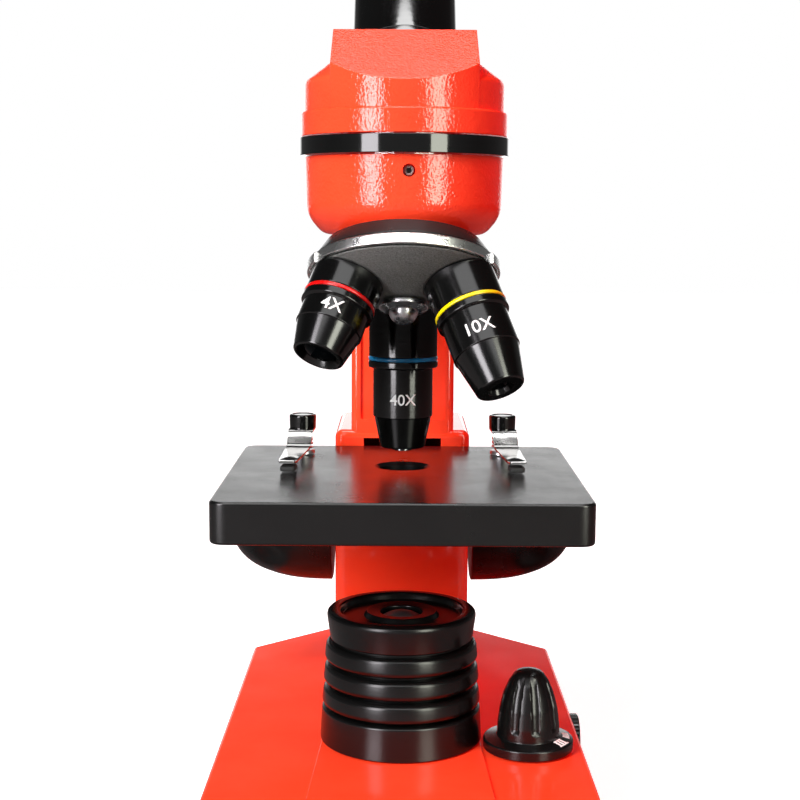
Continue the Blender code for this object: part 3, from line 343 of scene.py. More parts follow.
WRINKLE = make_wrinkle_group()
GRAIN = make_grain_group()
HANDLING = make_handling_group()
LATHE = make_lathe_group()
print("shared effects:", [group.name for group in (WRINKLE, GRAIN, HANDLING, LATHE)])

# %% [markdown]
# ## Finishes
# Every finish starts from the same plan: a base colour that drifts a little, a roughness from the handling
# group, and a relief from one of the relief groups through a Bump node. One builder makes that plan, and
# the constants that differ, such as metallic, coat and transmission, are set on the shader's own sockets.

# %% The builder of finishes
def above(tree, low, high):
    """A mask by height: nothing below low, everything above high."""
    height = node(tree, "ShaderNodeSeparateXYZ", Vector=position(tree))["Z"]
    return node(tree, "ShaderNodeMapRange", Value=height, From_Min=low * MM, From_Max=high * MM)["Result"]


def handled(tree, patches, least, most):
    values = {"Patches per metre": patches, "Least": least, "Most": most}
    return node(tree, "ShaderNodeGroup", {"node_tree": HANDLING}, **values)["Value"]


def finish(name, dark, light, gloss, relief, depth, axis=None, fade=None, patches=60.0, **constants):
    """A finish. dark and light are the ends of its colour, gloss the least and most roughness, and relief a
    group and its values. A relief of lathe marks turns about an axis, which is a placing matrix. With a fade,
    which is two heights, the relief grows from nothing at the first to its full depth at the second."""
    material = bpy.data.materials.new(name)
    material.use_nodes = True
    tree = material.node_tree
    shader = tree.nodes["Principled BSDF"]
    for label, value in constants.items():
        shader.inputs[label.replace("_", " ")].default_value = value
    shade = handled(tree, patches * 0.7, 0.0, 1.0)
    colour = node(tree, "ShaderNodeMix", {"data_type": "RGBA"}, Factor=shade, A=(*dark, 1), B=(*light, 1))
    tree.links.new(colour["Result"], shader.inputs["Base Color"])
    tree.links.new(handled(tree, patches, *gloss), shader.inputs["Roughness"])
    group, values = relief
    if axis:
        back = axis.inverted()
        turned_place = node(
            tree, "ShaderNodeMapping", Vector=position(tree), Location=back.to_translation(),
            Rotation=back.to_euler(),
        )
        values = {**values, "Vector": turned_place["Vector"]}
    height = node(tree, "ShaderNodeGroup", {"node_tree": group}, **values)["Height"]
    strength = above(tree, *fade) if fade else 1.0
    bump = node(tree, "ShaderNodeBump", Distance=depth * MM, Strength=strength, Height=height)
    tree.links.new(bump["Normal"], shader.inputs["Normal"])
    return material


def black(name, level, gloss, relief, depth, **more):
    """A black finish, its colour drifting about one dark level."""
    return finish(name, (level * 0.8,) * 3, (level * 1.2,) * 3, gloss, relief, depth, **more)


# %% Paints and plastics
# The orange paints emit a steady red glow of their own. This is painted light: it keeps their shaded sides bright
# red.
PAINT_DARK = (0.92, 0.055, 0.016)
PAINT_LIGHT = (0.96, 0.070, 0.024)
PAINTED_RED_GLOW = {"Emission_Color": (1.0, 0.006, 0.004, 1.0), "Emission_Strength": 0.2}
WRINKLE_PAINT = finish(
    "wrinkle paint", PAINT_DARK, PAINT_LIGHT, (0.06, 0.09),
    (WRINKLE, {"Pebbles per metre": 1500.0}), 0.11, **PAINTED_RED_GLOW,
)
ARM_PAINT = finish(
    "wrinkle paint of the arm", PAINT_DARK, PAINT_LIGHT, (0.06, 0.09),
    (WRINKLE, {"Pebbles per metre": 1500.0}), 0.11, fade=(150, 160), **PAINTED_RED_GLOW,
)
SMOOTH_PAINT = finish(
    "smooth paint", PAINT_DARK, PAINT_LIGHT, (0.11, 0.15),
    (GRAIN, {"Grains per metre": 900.0}), 0.0008, **PAINTED_RED_GLOW,
)
GLOSS_BLACK = black("gloss black paint", 0.002, (0.05, 0.09), (WRINKLE, {"Pebbles per metre": 500.0}), 0.004)
CAST_BLACK = finish(
    "grained black paint", (0.08, 0.08, 0.077), (0.25, 0.25, 0.24), (0.32, 0.48),
    (GRAIN, {"Grains per metre": 1700.0}), 0.2, patches=4000.0,
)
CONE_BLACK = black(
    "satin black of the cone", 0.012, (0.26, 0.32), (GRAIN, {"Grains per metre": 4000.0}), 0.01, IOR=1.3
)
WHEEL_BLACK = black(
    "wheel plastic", 0.004, (0.26, 0.32), (GRAIN, {"Grains per metre": 5000.0}), 0.006, IOR=1.3
)
FROSTED = black("frosted window", 0.05, (0.25, 0.35), (GRAIN, {"Grains per metre": 3000.0}), 0.01)
SATIN_BLACK = black(
    "satin black stage paint", 0.003, (0.22, 0.28), (GRAIN, {"Grains per metre": 9000.0}), 0.006
)
MOULDED_BLACK = black(
    "moulded black plastic", 0.004, (0.20, 0.27), (GRAIN, {"Grains per metre": 5000.0}), 0.006, IOR=1.42
)
RUBBER = black("black rubber", 0.014, (0.70, 0.82), (GRAIN, {"Grains per metre": 3000.0}), 0.05)
# The ink also glows a little of its own. This is painted light that keeps the letters and marks white where they
# lie in shade.
WHITE_INK_PAINTED_GLOW = finish(
    "white ink with painted glow", (0.72, 0.72, 0.70), (0.85, 0.85, 0.84), (0.4, 0.5), (GRAIN, {}), 0.01,
    Emission_Color=(1.0, 1.0, 1.0, 1.0), Emission_Strength=0.2,
)
RED_ENAMEL = finish("red enamel", (0.60, 0.001, 0.001), (0.75, 0.003, 0.002), (0.25, 0.35), (GRAIN, {}), 0.01)
YELLOW_ENAMEL = finish("yellow enamel", (0.88, 0.62, 0.0), (0.92, 0.70, 0.0), (0.25, 0.35), (GRAIN, {}), 0.01)
BLUE_ENAMEL = finish("blue enamel", (0.0, 0.24, 0.55), (0.0, 0.30, 0.68), (0.25, 0.35), (GRAIN, {}), 0.01)
BOARD_GREEN = finish("solder mask", (0.005, 0.08, 0.02), (0.01, 0.13, 0.04), (0.3, 0.4), (GRAIN, {}), 0.02)
LED_RESIN = finish("led resin", (0.80, 0.80, 0.70), (0.86, 0.86, 0.78), (0.15, 0.2), (GRAIN, {}), 0.005)

# %% Metals and glass
CHROME = finish(
    "polished chrome", (0.62, 0.61, 0.60), (0.72, 0.71, 0.70), (0.06, 0.12),
    (WRINKLE, {"Pebbles per metre": 320.0}), 0.02, Metallic=1.0,
)
STEEL = finish(
    "bright steel", (0.45, 0.45, 0.46), (0.58, 0.58, 0.59), (0.22, 0.32),
    (GRAIN, {"Grains per metre": 4000.0}), 0.01, Metallic=1.0,
)
ALUMINIUM = finish(
    "blasted aluminium", (0.70, 0.70, 0.69), (0.84, 0.84, 0.83), (0.22, 0.30),
    (GRAIN, {"Grains per metre": 2400.0}), 0.07, Metallic=1.0,
)
BRASS = finish(
    "machined brass", (0.46, 0.27, 0.07), (0.60, 0.38, 0.12), (0.2, 0.32),
    (GRAIN, {"Grains per metre": 5000.0}), 0.02, Metallic=1.0,
)
GLASS = finish(
    "coated glass", (0.86, 0.90, 0.93), (0.92, 0.95, 0.97), (0.01, 0.03),
    (GRAIN, {"Grains per metre": 300.0}), 0.001, Transmission_Weight=1.0, IOR=1.52,
)
LENS_COATING = finish(
    "dark coated lens", (0.001, 0.0015, 0.002), (0.002, 0.003, 0.004), (0.03, 0.06),
    (GRAIN, {"Grains per metre": 300.0}), 0.001, IOR=1.12,
)


def barrel_black(name, axis, gloss=(0.09, 0.14)):
    """Black anodising over turned aluminium, with the lathe's rings about that barrel's own axis."""
    return black(name, 0.002, gloss, (LATHE, {"Rings per metre": 9000.0}), 0.006, axis=axis)


print("finishes:", len(bpy.data.materials))

# %% [markdown]
# ## Base
# The base is a pressed shell with a long hexagon for its outline, two facets that fall away from a ridge on
# each side, and a low plateau in front of the lamp. A subdivided cage would blur its flat faces, so it is
# an outline raised into a slab, cut by two tilted blocks, with every edge then eased by a Bevel.

# %% The base shell
BASE_TOP = 30
BASE_BOTTOM = 3
BASE_WALL = 2.6
BASE_HALF = 49.5
BASE_CORNERS = ((25.6, 110), (49, 89.9), (BASE_HALF, -46), (31, -66))
SELECTOR_X = 34.3
SELECTOR_Y = -7
RIDGE_REAR = (25.2, 58.8)
RIDGE_FRONT = (40.3, -16.3)
FACET_TILT = 2.2
DIAL = joint_place("brightness_turn") @ rotate(90, "Y")
DIAL.translation.x = 0


def base_outline(inset):
    """The hexagon, drawn in by an inset on its sides and by half of it on its ends."""
    right = [(x - inset, y + math.copysign(inset, -y) / 2) for x, y in BASE_CORNERS]
    return right + [(-x, y) for x, y in reversed(right)]


def facet_tool(side):
    """A long block whose lower face is the plane of one side facet. It meets the flat top along the ridge and
    reaches past it, so that the cut leaves no sliver of a wall there."""
    reach, past_ridge, height = 140, 20, 20
    rear = Vector((side * RIDGE_REAR[0], RIDGE_REAR[1], BASE_TOP))
    front = Vector((side * RIDGE_FRONT[0], RIDGE_FRONT[1], BASE_TOP))
    heading = math.atan2(front.y - rear.y, front.x - rear.x) / DEGREE
    near, far = sorted((-side * past_ridge, side * reach))
    place = OPTICAL @ at(*(rear + front) / 2) @ rotate(heading, "Z") @ rotate(-side * FACET_TILT, "X")
    return box("facet tool", (-reach, near, 0), (reach, far, height), place)


def make_base():
    shell = slab("base_casting", base_outline(0), BASE_BOTTOM, BASE_TOP, OPTICAL)
    cut(shell, facet_tool(1), facet_tool(-1))
    ease(shell, 0.9, 3, 10)
    corners = [(21, 10), (-21, 10), (-24, -62), (24, -62)]
    plateau = ease(slab("plateau", corners, BASE_TOP - 4, BASE_TOP + 0.8, OPTICAL), 0.35, 2)
    join(shell, plateau)
    cut(
        shell,
        slab("hollow", base_outline(BASE_WALL), -20, BASE_TOP - BASE_WALL, OPTICAL),
        rod("lamp hole", 14, 20, 40, OPTICAL),
        rod("selector hole", 2.8, 20, 40, OPTICAL @ at(SELECTOR_X, SELECTOR_Y, 0)),
        rod("dial hole", 2.8, 40, 60, DIAL),
    )
    return dress(shell, SMOOTH_PAINT, "orange_paint", "stand", "base_shell", sharp=25)


make_base()

# %% [markdown]
# ## Underside
# Turned over, the base shows a flat plastic plate with the battery door, four rubber feet and the screws
# that hold the plate. The screws are the same piece four times, so one screw is instanced on four points by
# Geometry Nodes.

# %% A helper for Geometry Nodes trees
def new_tree(name, inputs):
    """An empty geometry tree with named inputs and a Material input, which close_tree ends by Realize Instances
    and Set Material.
    """
    tree = bpy.data.node_groups.new(name, "GeometryNodeTree")
    for label, (kind, value) in inputs.items():
        socket = tree.interface.new_socket(label, in_out="INPUT", socket_type="NodeSocket" + kind)
        if value is not None:
            socket.default_value = value
    tree.interface.new_socket("Material", in_out="INPUT", socket_type="NodeSocketMaterial")
    tree.interface.new_socket("Geometry", in_out="OUTPUT", socket_type="NodeSocketGeometry")
    return tree, tree.nodes.new("NodeGroupInput").outputs


def close_tree(tree, geometry, start):
    realized = node(tree, "GeometryNodeRealizeInstances", Geometry=geometry)["Geometry"]
    painted = node(tree, "GeometryNodeSetMaterial", Geometry=realized, Material=start["Material"])["Geometry"]
    end = tree.nodes.new("NodeGroupOutput")
    tree.links.new(painted, end.inputs["Geometry"])


def grown(name, tree, values, place):
    """Run a tree, whose lengths are millimetres, and keep its result as a plain mesh in its place."""
    piece = bpy.data.objects.new(name, bpy.data.meshes.new(name))
    bpy.context.scene.collection.objects.link(piece)
    modifier = piece.modifiers.new(name, "NODES")
    modifier.node_group = tree
    for item in tree.interface.items_tree:
        if item.in_out == "INPUT" and item.name in values:
            modifier[item.identifier] = values[item.name]
    settle(piece)
    piece.data.transform(place @ Matrix.Scale(MM, 4))
    return piece


# %% The screw tree
def make_screw_tree():
    """Four domed screw heads, half sunk, at the corners of a rectangle."""
    inputs = {"Width": ("Float", 20.0), "Length": ("Float", 40.0), "Head radius": ("Float", 3.0)}
    tree, start = new_tree("corner screws", inputs)
    size = {"Size_X": start["Width"], "Size_Y": start["Length"]}
    grid = node(tree, "GeometryNodeMeshGrid", Vertices_X=2, Vertices_Y=2, **size)["Mesh"]
    head = node(tree, "GeometryNodeMeshUVSphere", Segments=32, Rings=16, Radius=start["Head radius"])["Mesh"]
    flat = node(tree, "GeometryNodeTransform", Geometry=head, Scale=(1, 1, 0.42))["Geometry"]
    heads = node(tree, "GeometryNodeInstanceOnPoints", Points=grid, Instance=flat)["Instances"]
    close_tree(tree, heads, start)
    return tree


SCREW_TREE = make_screw_tree()


# %% The plate, the door, the feet and the screws
GROOVE_PITCH = 1.8
GROOVE_HALF = 0.5
FEET = ((-37, -38), (37, -38), (-37, 80), (37, 80))


def make_underside():
    top = BASE_BOTTOM + 2.5
    plate = slab("bottom_cover", base_outline(BASE_WALL + 0.3), BASE_BOTTOM, top, OPTICAL)
    gap = 0.3
    door_x, door_y = 30, 17
    cut(plate, slab("door opening", rectangle(door_x + gap, -door_y - gap, door_y + gap, 2), 0, 10, OPTICAL))
    dress(ease(plate, 0.3, 2), MOULDED_BLACK, "black_plastic", "stand", "base_plate")
    door = slab("battery_hatch", rectangle(door_x, -door_y, door_y, 1.7), BASE_BOTTOM, top, OPTICAL)
    for number in range(5):
        middle = -14 + number * GROOVE_PITCH
        groove = rectangle(7, middle - GROOVE_HALF, middle + GROOVE_HALF, 0.4)
        cut(door, slab("grip groove", groove, 0, BASE_BOTTOM + 0.7, OPTICAL))
    dress(ease(door, 0.25, 2), MOULDED_BLACK, "black_plastic", "stand", "battery_door")
    foot_top = BASE_BOTTOM - 0.3
    foot = [(0, foot_top), (7, foot_top, 0.3), (6.3, 0, 0.6), (4, 0, 0.3), (3.6, 0.5, 0.2), (0, 0.5)]
    for number, (x, y) in enumerate(FEET, 1):
        piece = turned(f"foot_pad_{number}", foot, OPTICAL @ at(x, y, 0), 48)
        dress(piece, RUBBER, "rubber", "stand", f"rubber_foot_{number}")
    values = {"Width": 60, "Length": 152, "Head radius": 2.6, "Material": STEEL}
    screws = grown("bottom_screws", SCREW_TREE, values, OPTICAL @ at(0, 22, BASE_BOTTOM))
    dress(screws, STEEL, "steel", "stand")


make_underside()

# %% [markdown]
# ## Lamp housing
# The lamp stands in a drum with a sunken top, three bulging ribs like a bellows, and a tall collar at its
# foot. The ribs could be part of the turned profile, but they follow a rule: one ring, stepped down and a
# little wider each time. So Geometry Nodes sweep one rounded profile round a circle and instance it down a
# line of points.

# %% The drum
LAMP_TOP = 66.7
LAMP_RADIUS = 20.4
LAMP_GROOVE = 18.4
DECK_BOTTOM = 62.9
RIB_PITCH = 6.1
FIRST_RIB = 58.4


def make_lamp_drum():
    floor = BASE_TOP + 1.1
    collar_top = FIRST_RIB - 3 * RIB_PITCH
    lip = LAMP_TOP - 1.9
    lens_hole = 5.8
    profile = [
        (lens_hole, LAMP_TOP - 0.9, 0.3), (9.4, LAMP_TOP - 0.6, 0.5),
        (10.2, lip, 0.4), (15.9, lip, 0.4), (16.7, LAMP_TOP, 1.1),
        (LAMP_RADIUS, LAMP_TOP, 1.6), (LAMP_RADIUS - 1.1, FIRST_RIB + 0.6, 0.5),
        (LAMP_GROOVE, FIRST_RIB + 0.6, 0.3), (LAMP_GROOVE, collar_top, 0.2),
        (LAMP_RADIUS + 1.1, collar_top, 0.7), (LAMP_RADIUS + 1.6, floor, 0.3),
        (17, floor), (17, DECK_BOTTOM), (lens_hole - 0.9, DECK_BOTTOM),
        (lens_hole - 0.9, DECK_BOTTOM + 1.1), (lens_hole, DECK_BOTTOM + 1.1),
    ]
    drum = turned("lamp_drum", profile, OPTICAL, 128, 5)
    return dress(drum, MOULDED_BLACK, "black_plastic", "stand", "lamp_housing")


make_lamp_drum()


# %% The ribs
def make_rib_tree():
    """Rounded rings in a stack, drawn in towards their foot, each wider than the last by the same growth."""
    inputs = {
        "Count": ("Int", 3), "Pitch": ("Float", 6.0), "Radius": ("Float", 20.0), "Growth": ("Float", 0.02),
        "Depth": ("Float", 3.0), "Foot": ("Float", 2.0), "Height": ("Float", 5.0), "Rounding": ("Float", 1.0),
    }
    tree, start = new_tree("bellows ribs", inputs)
    path = node(tree, "GeometryNodeCurvePrimitiveCircle", Resolution=128, Radius=start["Radius"])["Curve"]
    widths = {"Bottom_Width": start["Foot"], "Top_Width": start["Depth"], "Offset": 0.0}
    kind = "GeometryNodeCurvePrimitiveQuadrilateral"
    outline = node(tree, kind, {"mode": "TRAPEZOID"}, Height=start["Height"], **widths)["Curve"]
    corners = {"Curve": outline, "Count": 5, "Radius": start["Rounding"]}
    outline = node(tree, "GeometryNodeFilletCurve", {"mode": "POLY"}, **corners)["Curve"]
    ring = node(tree, "GeometryNodeCurveToMesh", Curve=path, Profile_Curve=outline)["Mesh"]
    step = node(tree, "ShaderNodeCombineXYZ", Z=maths(tree, "SUBTRACT", 0.0, start["Pitch"]))["Vector"]
    line = node(tree, "GeometryNodeMeshLine", Count=start["Count"], Offset=step)["Mesh"]
    index = node(tree, "GeometryNodeInputIndex")["Index"]
    growth = maths(tree, "ADD", maths(tree, "MULTIPLY", index, start["Growth"]), 1.0)
    widen = node(tree, "ShaderNodeCombineXYZ", X=growth, Y=growth, Z=1.0)["Vector"]
    rings = node(tree, "GeometryNodeInstanceOnPoints", Points=line, Instance=ring, Scale=widen)["Instances"]
    close_tree(tree, rings, start)
    return tree


RIB_TREE = make_rib_tree()
RIB_DEPTH = 3.8
RIB_VALUES = {
    "Count": 3, "Pitch": RIB_PITCH, "Radius": LAMP_RADIUS + 0.5 - RIB_DEPTH / 2, "Growth": 0.018,
    "Depth": RIB_DEPTH, "Foot": 2.6, "Height": 5.3, "Rounding": 1.5, "Material": MOULDED_BLACK,
}
ribs = grown("lamp_ribs", RIB_TREE, RIB_VALUES, OPTICAL @ at(0, 0, FIRST_RIB - RIB_PITCH / 2 + 0.2))
dress(ribs, MOULDED_BLACK, "black_plastic", "stand")

# %% The window over the lamp
def make_lamp_window():
    seat = DECK_BOTTOM + 1.4
    radius = 5.5
    window = [(0, seat + 1.7), *arc(0, seat + 1.7 - 9.5, 9.5, 84, 56, 6),
              (radius, seat + 0.3, 0.15), (radius, seat), (0, seat)]
    dress(turned("lamp_window", window, OPTICAL, 64), FROSTED, "optical_glass", "stand", "lamp_lens")
    foot = DECK_BOTTOM
    resin = [(0, foot + 1.1), (1.7, foot + 1.1, 0.7), (2.4, foot), (0, foot)]
    dress(turned("led_dome", resin, OPTICAL, 48), LED_RESIN, "led_white", "stand", "lamp_led")


make_lamp_window()

# %% [markdown]
# ## Arm
# Column, bend and head seat are one casting. Its lower part is a rounded block, its upper part an outline
# seen from the side, and the seat is turned. Blending them with metaballs would be soft everywhere, and the
# real casting is crisp. So each part is eased on its own, then they are joined and the openings are cut
# through.

# %% The arm casting
COLUMN_HALF = 19.7
COLUMN_FRONT = 36.5
COLUMN_REAR = 79.5
SHOULDER = 110
UPPER_HALF = 14.95
UPPER_FRONT = COLUMN_FRONT + 0.5
UPPER_REAR = 71
SEAT_RADIUS = 25.75
SEAT_BOTTOM = 167.4
SEAT_TOP = 187.4
CONE_TOP = 29.8
CONE_FOOT = 34.7
SPIGOT_BORE = 15.3
LIGHT_RADIUS = 8
LOCK = at(1.1, 0, 183.4)
SIDE_ON = OPTICAL @ Matrix(((0, 0, 1, 0), (1, 0, 0, 0), (0, 1, 0, 0), (0, 0, 0, 1)))


def facing_front(y):
    """A place for outlines seen from the front. Heights of a slab then run forward from y."""
    return OPTICAL @ at(0, y, 0) @ rotate(90, "X")


def make_head_seat():
    chamfer = SEAT_BOTTOM + 5.2
    profile = [
        (0, SEAT_TOP), (SEAT_RADIUS + 0.2, SEAT_TOP, 0.2), (SEAT_RADIUS - 0.2, chamfer, 9),
        (SEAT_RADIUS - 4.6, SEAT_BOTTOM, 5), (18.5, SEAT_BOTTOM), (18.5, 140), (0, 140),
    ]
    seat = turned("head seat", profile, OPTICAL, 128, 10)
    below = box("below nosepiece", (-40, -60, -90), (40, 60, 0.3 - CONE_TOP), TURRET)
    return cut(seat, below)


def make_upper_column():
    bend, shoulder = 16, 34
    top = SEAT_TOP - 1.6
    foot = SHOULDER - 3
    outline = [(UPPER_FRONT, foot), *arc(UPPER_FRONT - bend, 151, bend, 0, 70, 8), (12, 170)]
    rear_bend = arc(UPPER_REAR - shoulder, top - shoulder, shoulder, 90, 0, 12)
    outline += [(12, top), *rear_bend, (UPPER_REAR, foot)]
    return ease(slab("upper column", outline, -UPPER_HALF, UPPER_HALF, SIDE_ON), 1.9, 4, 40)


def make_arm():
    footing = BASE_TOP + 0.3
    outline = rectangle(COLUMN_HALF, COLUMN_FRONT, COLUMN_REAR, 3)
    arm = slab("arm_casting", outline, footing, SHOULDER, OPTICAL)
    ease(arm, 2.4, 5, 40)
    join(arm, make_upper_column(), make_head_seat())
    cavity_top = 107.8
    recess = rectangle(12.3, 113.1, 152, 1.2)
    cut(
        arm,
        box("cavity", (-14, COLUMN_FRONT + 2.8, 40), (14, 100, cavity_top), OPTICAL),
        box("slot", (-11.3, 20, 76), (11.3, 50, cavity_top), OPTICAL),
        rod("bush hole", 6.3, -40, 40, FOCUS),
        slab("recess", recess, -1.1, 3, facing_front(UPPER_FRONT)),
        rod("spigot bore", SPIGOT_BORE, 176.2, 200, OPTICAL),
        rod("light path", LIGHT_RADIUS, 130, 190, OPTICAL),
        rod("lock hole", 1.6, 10, 40, OPTICAL @ LOCK @ rotate(90, "X")),
        rod("pivot hole", 2.8, -40, -22, TURRET),
    )
    return dress(arm, ARM_PAINT, "orange_paint", "stand", "arm")


make_arm()

# %% Rear cover, bushes and the ring under the head
HEAD_FOOT = 192.6


def make_arm_fittings():
    side = 13.7
    cover = slab("rear_panel", rectangle(side, 40.3, 107.5, 0.6), 0.4, 2.8, facing_front(COLUMN_REAR))
    dress(ease(cover, 0.4, 3), MOULDED_BLACK, "black_plastic", "stand", "arm_rear_cover")
    values = {"Width": 20, "Length": 60, "Head radius": 1.6, "Material": STEEL}
    screws = grown("rear_screws", SCREW_TREE, values, facing_front(COLUMN_REAR - 0.4) @ at(0, 73.9, 0))
    dress(screws, STEEL, "steel", "stand")
    flange = COLUMN_HALF + 0.3
    bush = [
        (3.3, flange + 1, 0.2), (8, flange + 1, 0.4), (8, flange),
        (6, flange), (6, 14.3), (3.3, 14.3),
    ]
    for side_name, turn in (("right", 0), ("left", 180)):
        place = FOCUS @ rotate(turn, "X")
        collar = turned(f"shaft_collar_{side_name}", bush, place, 48)
        dress(collar, BRASS, "brass", "stand", f"focus_bush_{side_name}")
    low, high = SEAT_TOP + 0.3, HEAD_FOOT - 0.3
    ring = [(SPIGOT_BORE, high), (27.35, high, 0.2), (27.35, low, 0.2), (SPIGOT_BORE, low)]
    dress(turned("head_collar", ring, OPTICAL, 160), GLOSS_BLACK, "black_paint", "stand", "head_ring")
    screw = [(0, 24.6), (1.3, 24.6, 0.3), (1.3, 15.3), (0, 15.3)]
    place = OPTICAL @ LOCK @ rotate(90, "X")
    grub = cut(turned("set_screw", screw, place, 32), rod("hex", 0.75, 22.6, 30, place, 6))
    dress(grub, CAST_BLACK, "steel", "stand", "head_lock_screw")


make_arm_fittings()

# %% [markdown]
# ## Nosepiece
# A fixed black cone sits on the slanted seat. Under it turns a domed carrier with a bright click ring round
# its rim, which has one notch for each objective. The solids could be drawn tilted, but every one of them
# is turned about the same axis. So the pieces are drawn upright and placed by one matrix.

# %% Cone, click ring, dome and pivot screw
DOME_RADIUS = 45
RING_TOP = 35
RING_LOW = 37.7
OBJECTIVE_SEAT = 44.1
BARREL_RADIUS = 9.05
THREAD_RADIUS = 5.6


def make_nosepiece():
    cone = [
        (0, -CONE_TOP), (20.0, -CONE_TOP, 0.6), (22.9, 0.7 - CONE_FOOT, 0.6),
        (22.9, -CONE_FOOT), (0, -CONE_FOOT),
    ]
    cone = turned("nosepiece_cone", cone, TURRET, 128)
    cut(cone, rod("pivot", 2.8, -50, -20, TURRET), rod("light", 7, 130, 180, OPTICAL))
    dress(cone, CONE_BLACK, "black_paint", "stand", "nosepiece_mount")
    ring = [
        (21, -RING_TOP), (24.6, -RING_TOP, 0.4), (24.6, -RING_LOW, 0.4), (21, -RING_LOW),
    ]
    ring = turned("click_ring", ring, TURRET, 160)
    for number in range(3):
        place = TURRET @ rotate(120 * number - 30, "Z")
        cut(ring, box("notch", (23.9, -2.2, -40), (30, 2.2, -30), place))
    dress(ease(ring, 0.12, 2), ALUMINIUM, "aluminium", "turret", "turret_ring")
    dome_top = RING_LOW + 0.3
    rim = math.sqrt(DOME_RADIUS**2 - dome_top**2)
    start = math.degrees(math.asin(-dome_top / DOME_RADIUS))
    profile = [(0, -dome_top), (rim, -dome_top, 0.2), *arc(0, 0, DOME_RADIUS, start - 1, -90, 24)[:-1]]
    dome = turned("nosepiece_dome", profile + [(0, -DOME_RADIUS)], TURRET, 160)
    cut(dome, rod("pivot", 2.8, -60, -20, TURRET))
    for index in (0, 1, -1):
        axis = objective_axis(index)
        cut(dome, rod("seat", BARREL_RADIUS + 0.4, -60, 0.3 - OBJECTIVE_SEAT, axis))
        cut(dome, rod("thread", THREAD_RADIUS + 0.3, -60, -30, axis))
    dress(ease(dome, 0.15, 2, 40), CAST_BLACK, "black_paint", "turret", "turret_dome")
    face = DOME_RADIUS + 0.3
    screw = [
        (0, -26), (2.5, -26), (2.5, -face), (6.2, -face, 0.2),
        (6.3, -face - 1.1, 0.4), (4.6, -face - 2.1, 0.5),
        *arc(0, -face - 1.6, 3.8, -8, -90, 10)[:-1], (0, -face - 5.4),
    ]
    dress(turned("pivot_screw", screw, TURRET, 64), STEEL, "chrome", "stand", "turret_screw")


make_nosepiece()

# %% [markdown]
# ## Objectives
# Each objective is a black barrel with a coloured band, a shoulder, a taper and a front lens, and its power
# is engraved in white. The power could be a flat decal, but then it would float off the round barrel. Here
# the letters are thin solids, sliced into narrow strips and wrapped round the barrel, so that they follow
# it from any side.

# %% Engraved letters
CAPITAL_SHARE = 0.72


def engraving(name, text, height, radius, low, bearing, axis):
    """White letters wrapped round a barrel. Bearing is the angle from the front, low the letters' foot."""
    curve = bpy.data.curves.new(name, "FONT")
    curve.body = text
    curve.size = height * MM / CAPITAL_SHARE
    curve.extrude = 0.05 * MM
    curve.offset = 0.03 * MM
    curve.align_x = "CENTER"
    letters = bpy.data.objects.new(name, curve)
    bpy.context.scene.collection.objects.link(letters)
    graph = bpy.context.evaluated_depsgraph_get()
    bm = bmesh.new()
    bm.from_mesh(bpy.data.meshes.new_from_object(letters.evaluated_get(graph)))
    bpy.data.objects.remove(letters)
    bmesh.ops.remove_doubles(bm, verts=bm.verts, dist=WELD)
    strip = 0.4 * MM
    reach = max(vertex.co.x for vertex in bm.verts)
    for number in range(-int(reach / strip), int(reach / strip) + 1):
        everything = bm.verts[:] + bm.edges[:] + bm.faces[:]
        bmesh.ops.bisect_plane(bm, geom=everything, plane_co=(number * strip, 0, 0), plane_no=(1, 0, 0))
    for vertex in bm.verts:
        angle = vertex.co.x / (radius * MM) + bearing * DEGREE
        out = radius * MM + vertex.co.z
        vertex.co = (out * math.sin(angle), -out * math.cos(angle), low * MM + vertex.co.y)
    return piece_from(name, bm, axis)


# %% The three objectives
Objective = namedtuple(
    "Objective", "power index band waist shoulder tip tip_radius recess gloss enamel slot letters"
)
OBJECTIVES = (
    Objective(
        power="4x", index=1, band=50.6, waist=8.4, shoulder=59.4, tip=67, tip_radius=6.4, recess=5.5,
        gloss=(0.13, 0.18), enamel=RED_ENAMEL, slot="band_red", letters=(3.3, 9.2, -120),
    ),
    Objective(
        power="10x", index=-1, band=53, waist=8.4, shoulder=65.8, tip=75.9, tip_radius=6, recess=3.2,
        gloss=(0.13, 0.18), enamel=YELLOW_ENAMEL, slot="band_yellow", letters=(3.3, 12.5, 112),
    ),
    Objective(
        power="40x", index=0, band=56.7, waist=7.9, shoulder=72.8, tip=81.3, tip_radius=5.9, recess=2.4,
        gloss=(0.09, 0.14), enamel=BLUE_ENAMEL, slot="band_blue", letters=(2.9, 12.1, 0),
    ),
)
BAND_WIDTH = 1.3
BAND_SEAT = 8.3
BAND_RADIUS = BARREL_RADIUS + 0.15
LENS_MOUNT = ((1.8, 0.8), (2.15, 0.8), (2.15, -0.08), (2.65, -0.08, 0.1), (2.65, -0.8, 0.2), (1.8, -0.8, 0.2))


def make_barrel(lens, axis):
    """The black body. Its distances are measured down its axis from the apex."""
    below = lens.band + BAND_WIDTH
    waist, shoulder, tip, recess = lens.waist, lens.shoulder, lens.tip, lens.recess
    profile = [
        (0, -41), (THREAD_RADIUS, -41, 0.3), (THREAD_RADIUS, -OBJECTIVE_SEAT),
        (BARREL_RADIUS, -OBJECTIVE_SEAT, 0.3), (BARREL_RADIUS, -lens.band, 0.12), (BAND_SEAT, -lens.band),
        (BAND_SEAT, -below), (BAND_RADIUS, -below, 0.2), (BAND_RADIUS, -below - 1.7, 0.4),
        (waist, -below - 2.1), (waist, -shoulder, 0.15), (waist - 0.3, -shoulder - 0.2, 0.1),
        (lens.tip_radius, -tip, 0.7), (recess, -tip, 0.2), (recess * 0.8, 1.6 - tip), (0, 1.6 - tip),
    ]
    barrel = turned(f"barrel_{lens.power}", profile, axis, 128)
    anodised = barrel_black(f"black anodising {lens.power}", axis, lens.gloss)
    dress(barrel, anodised, "black_paint", "turret", f"objective_{lens.power}_barrel")


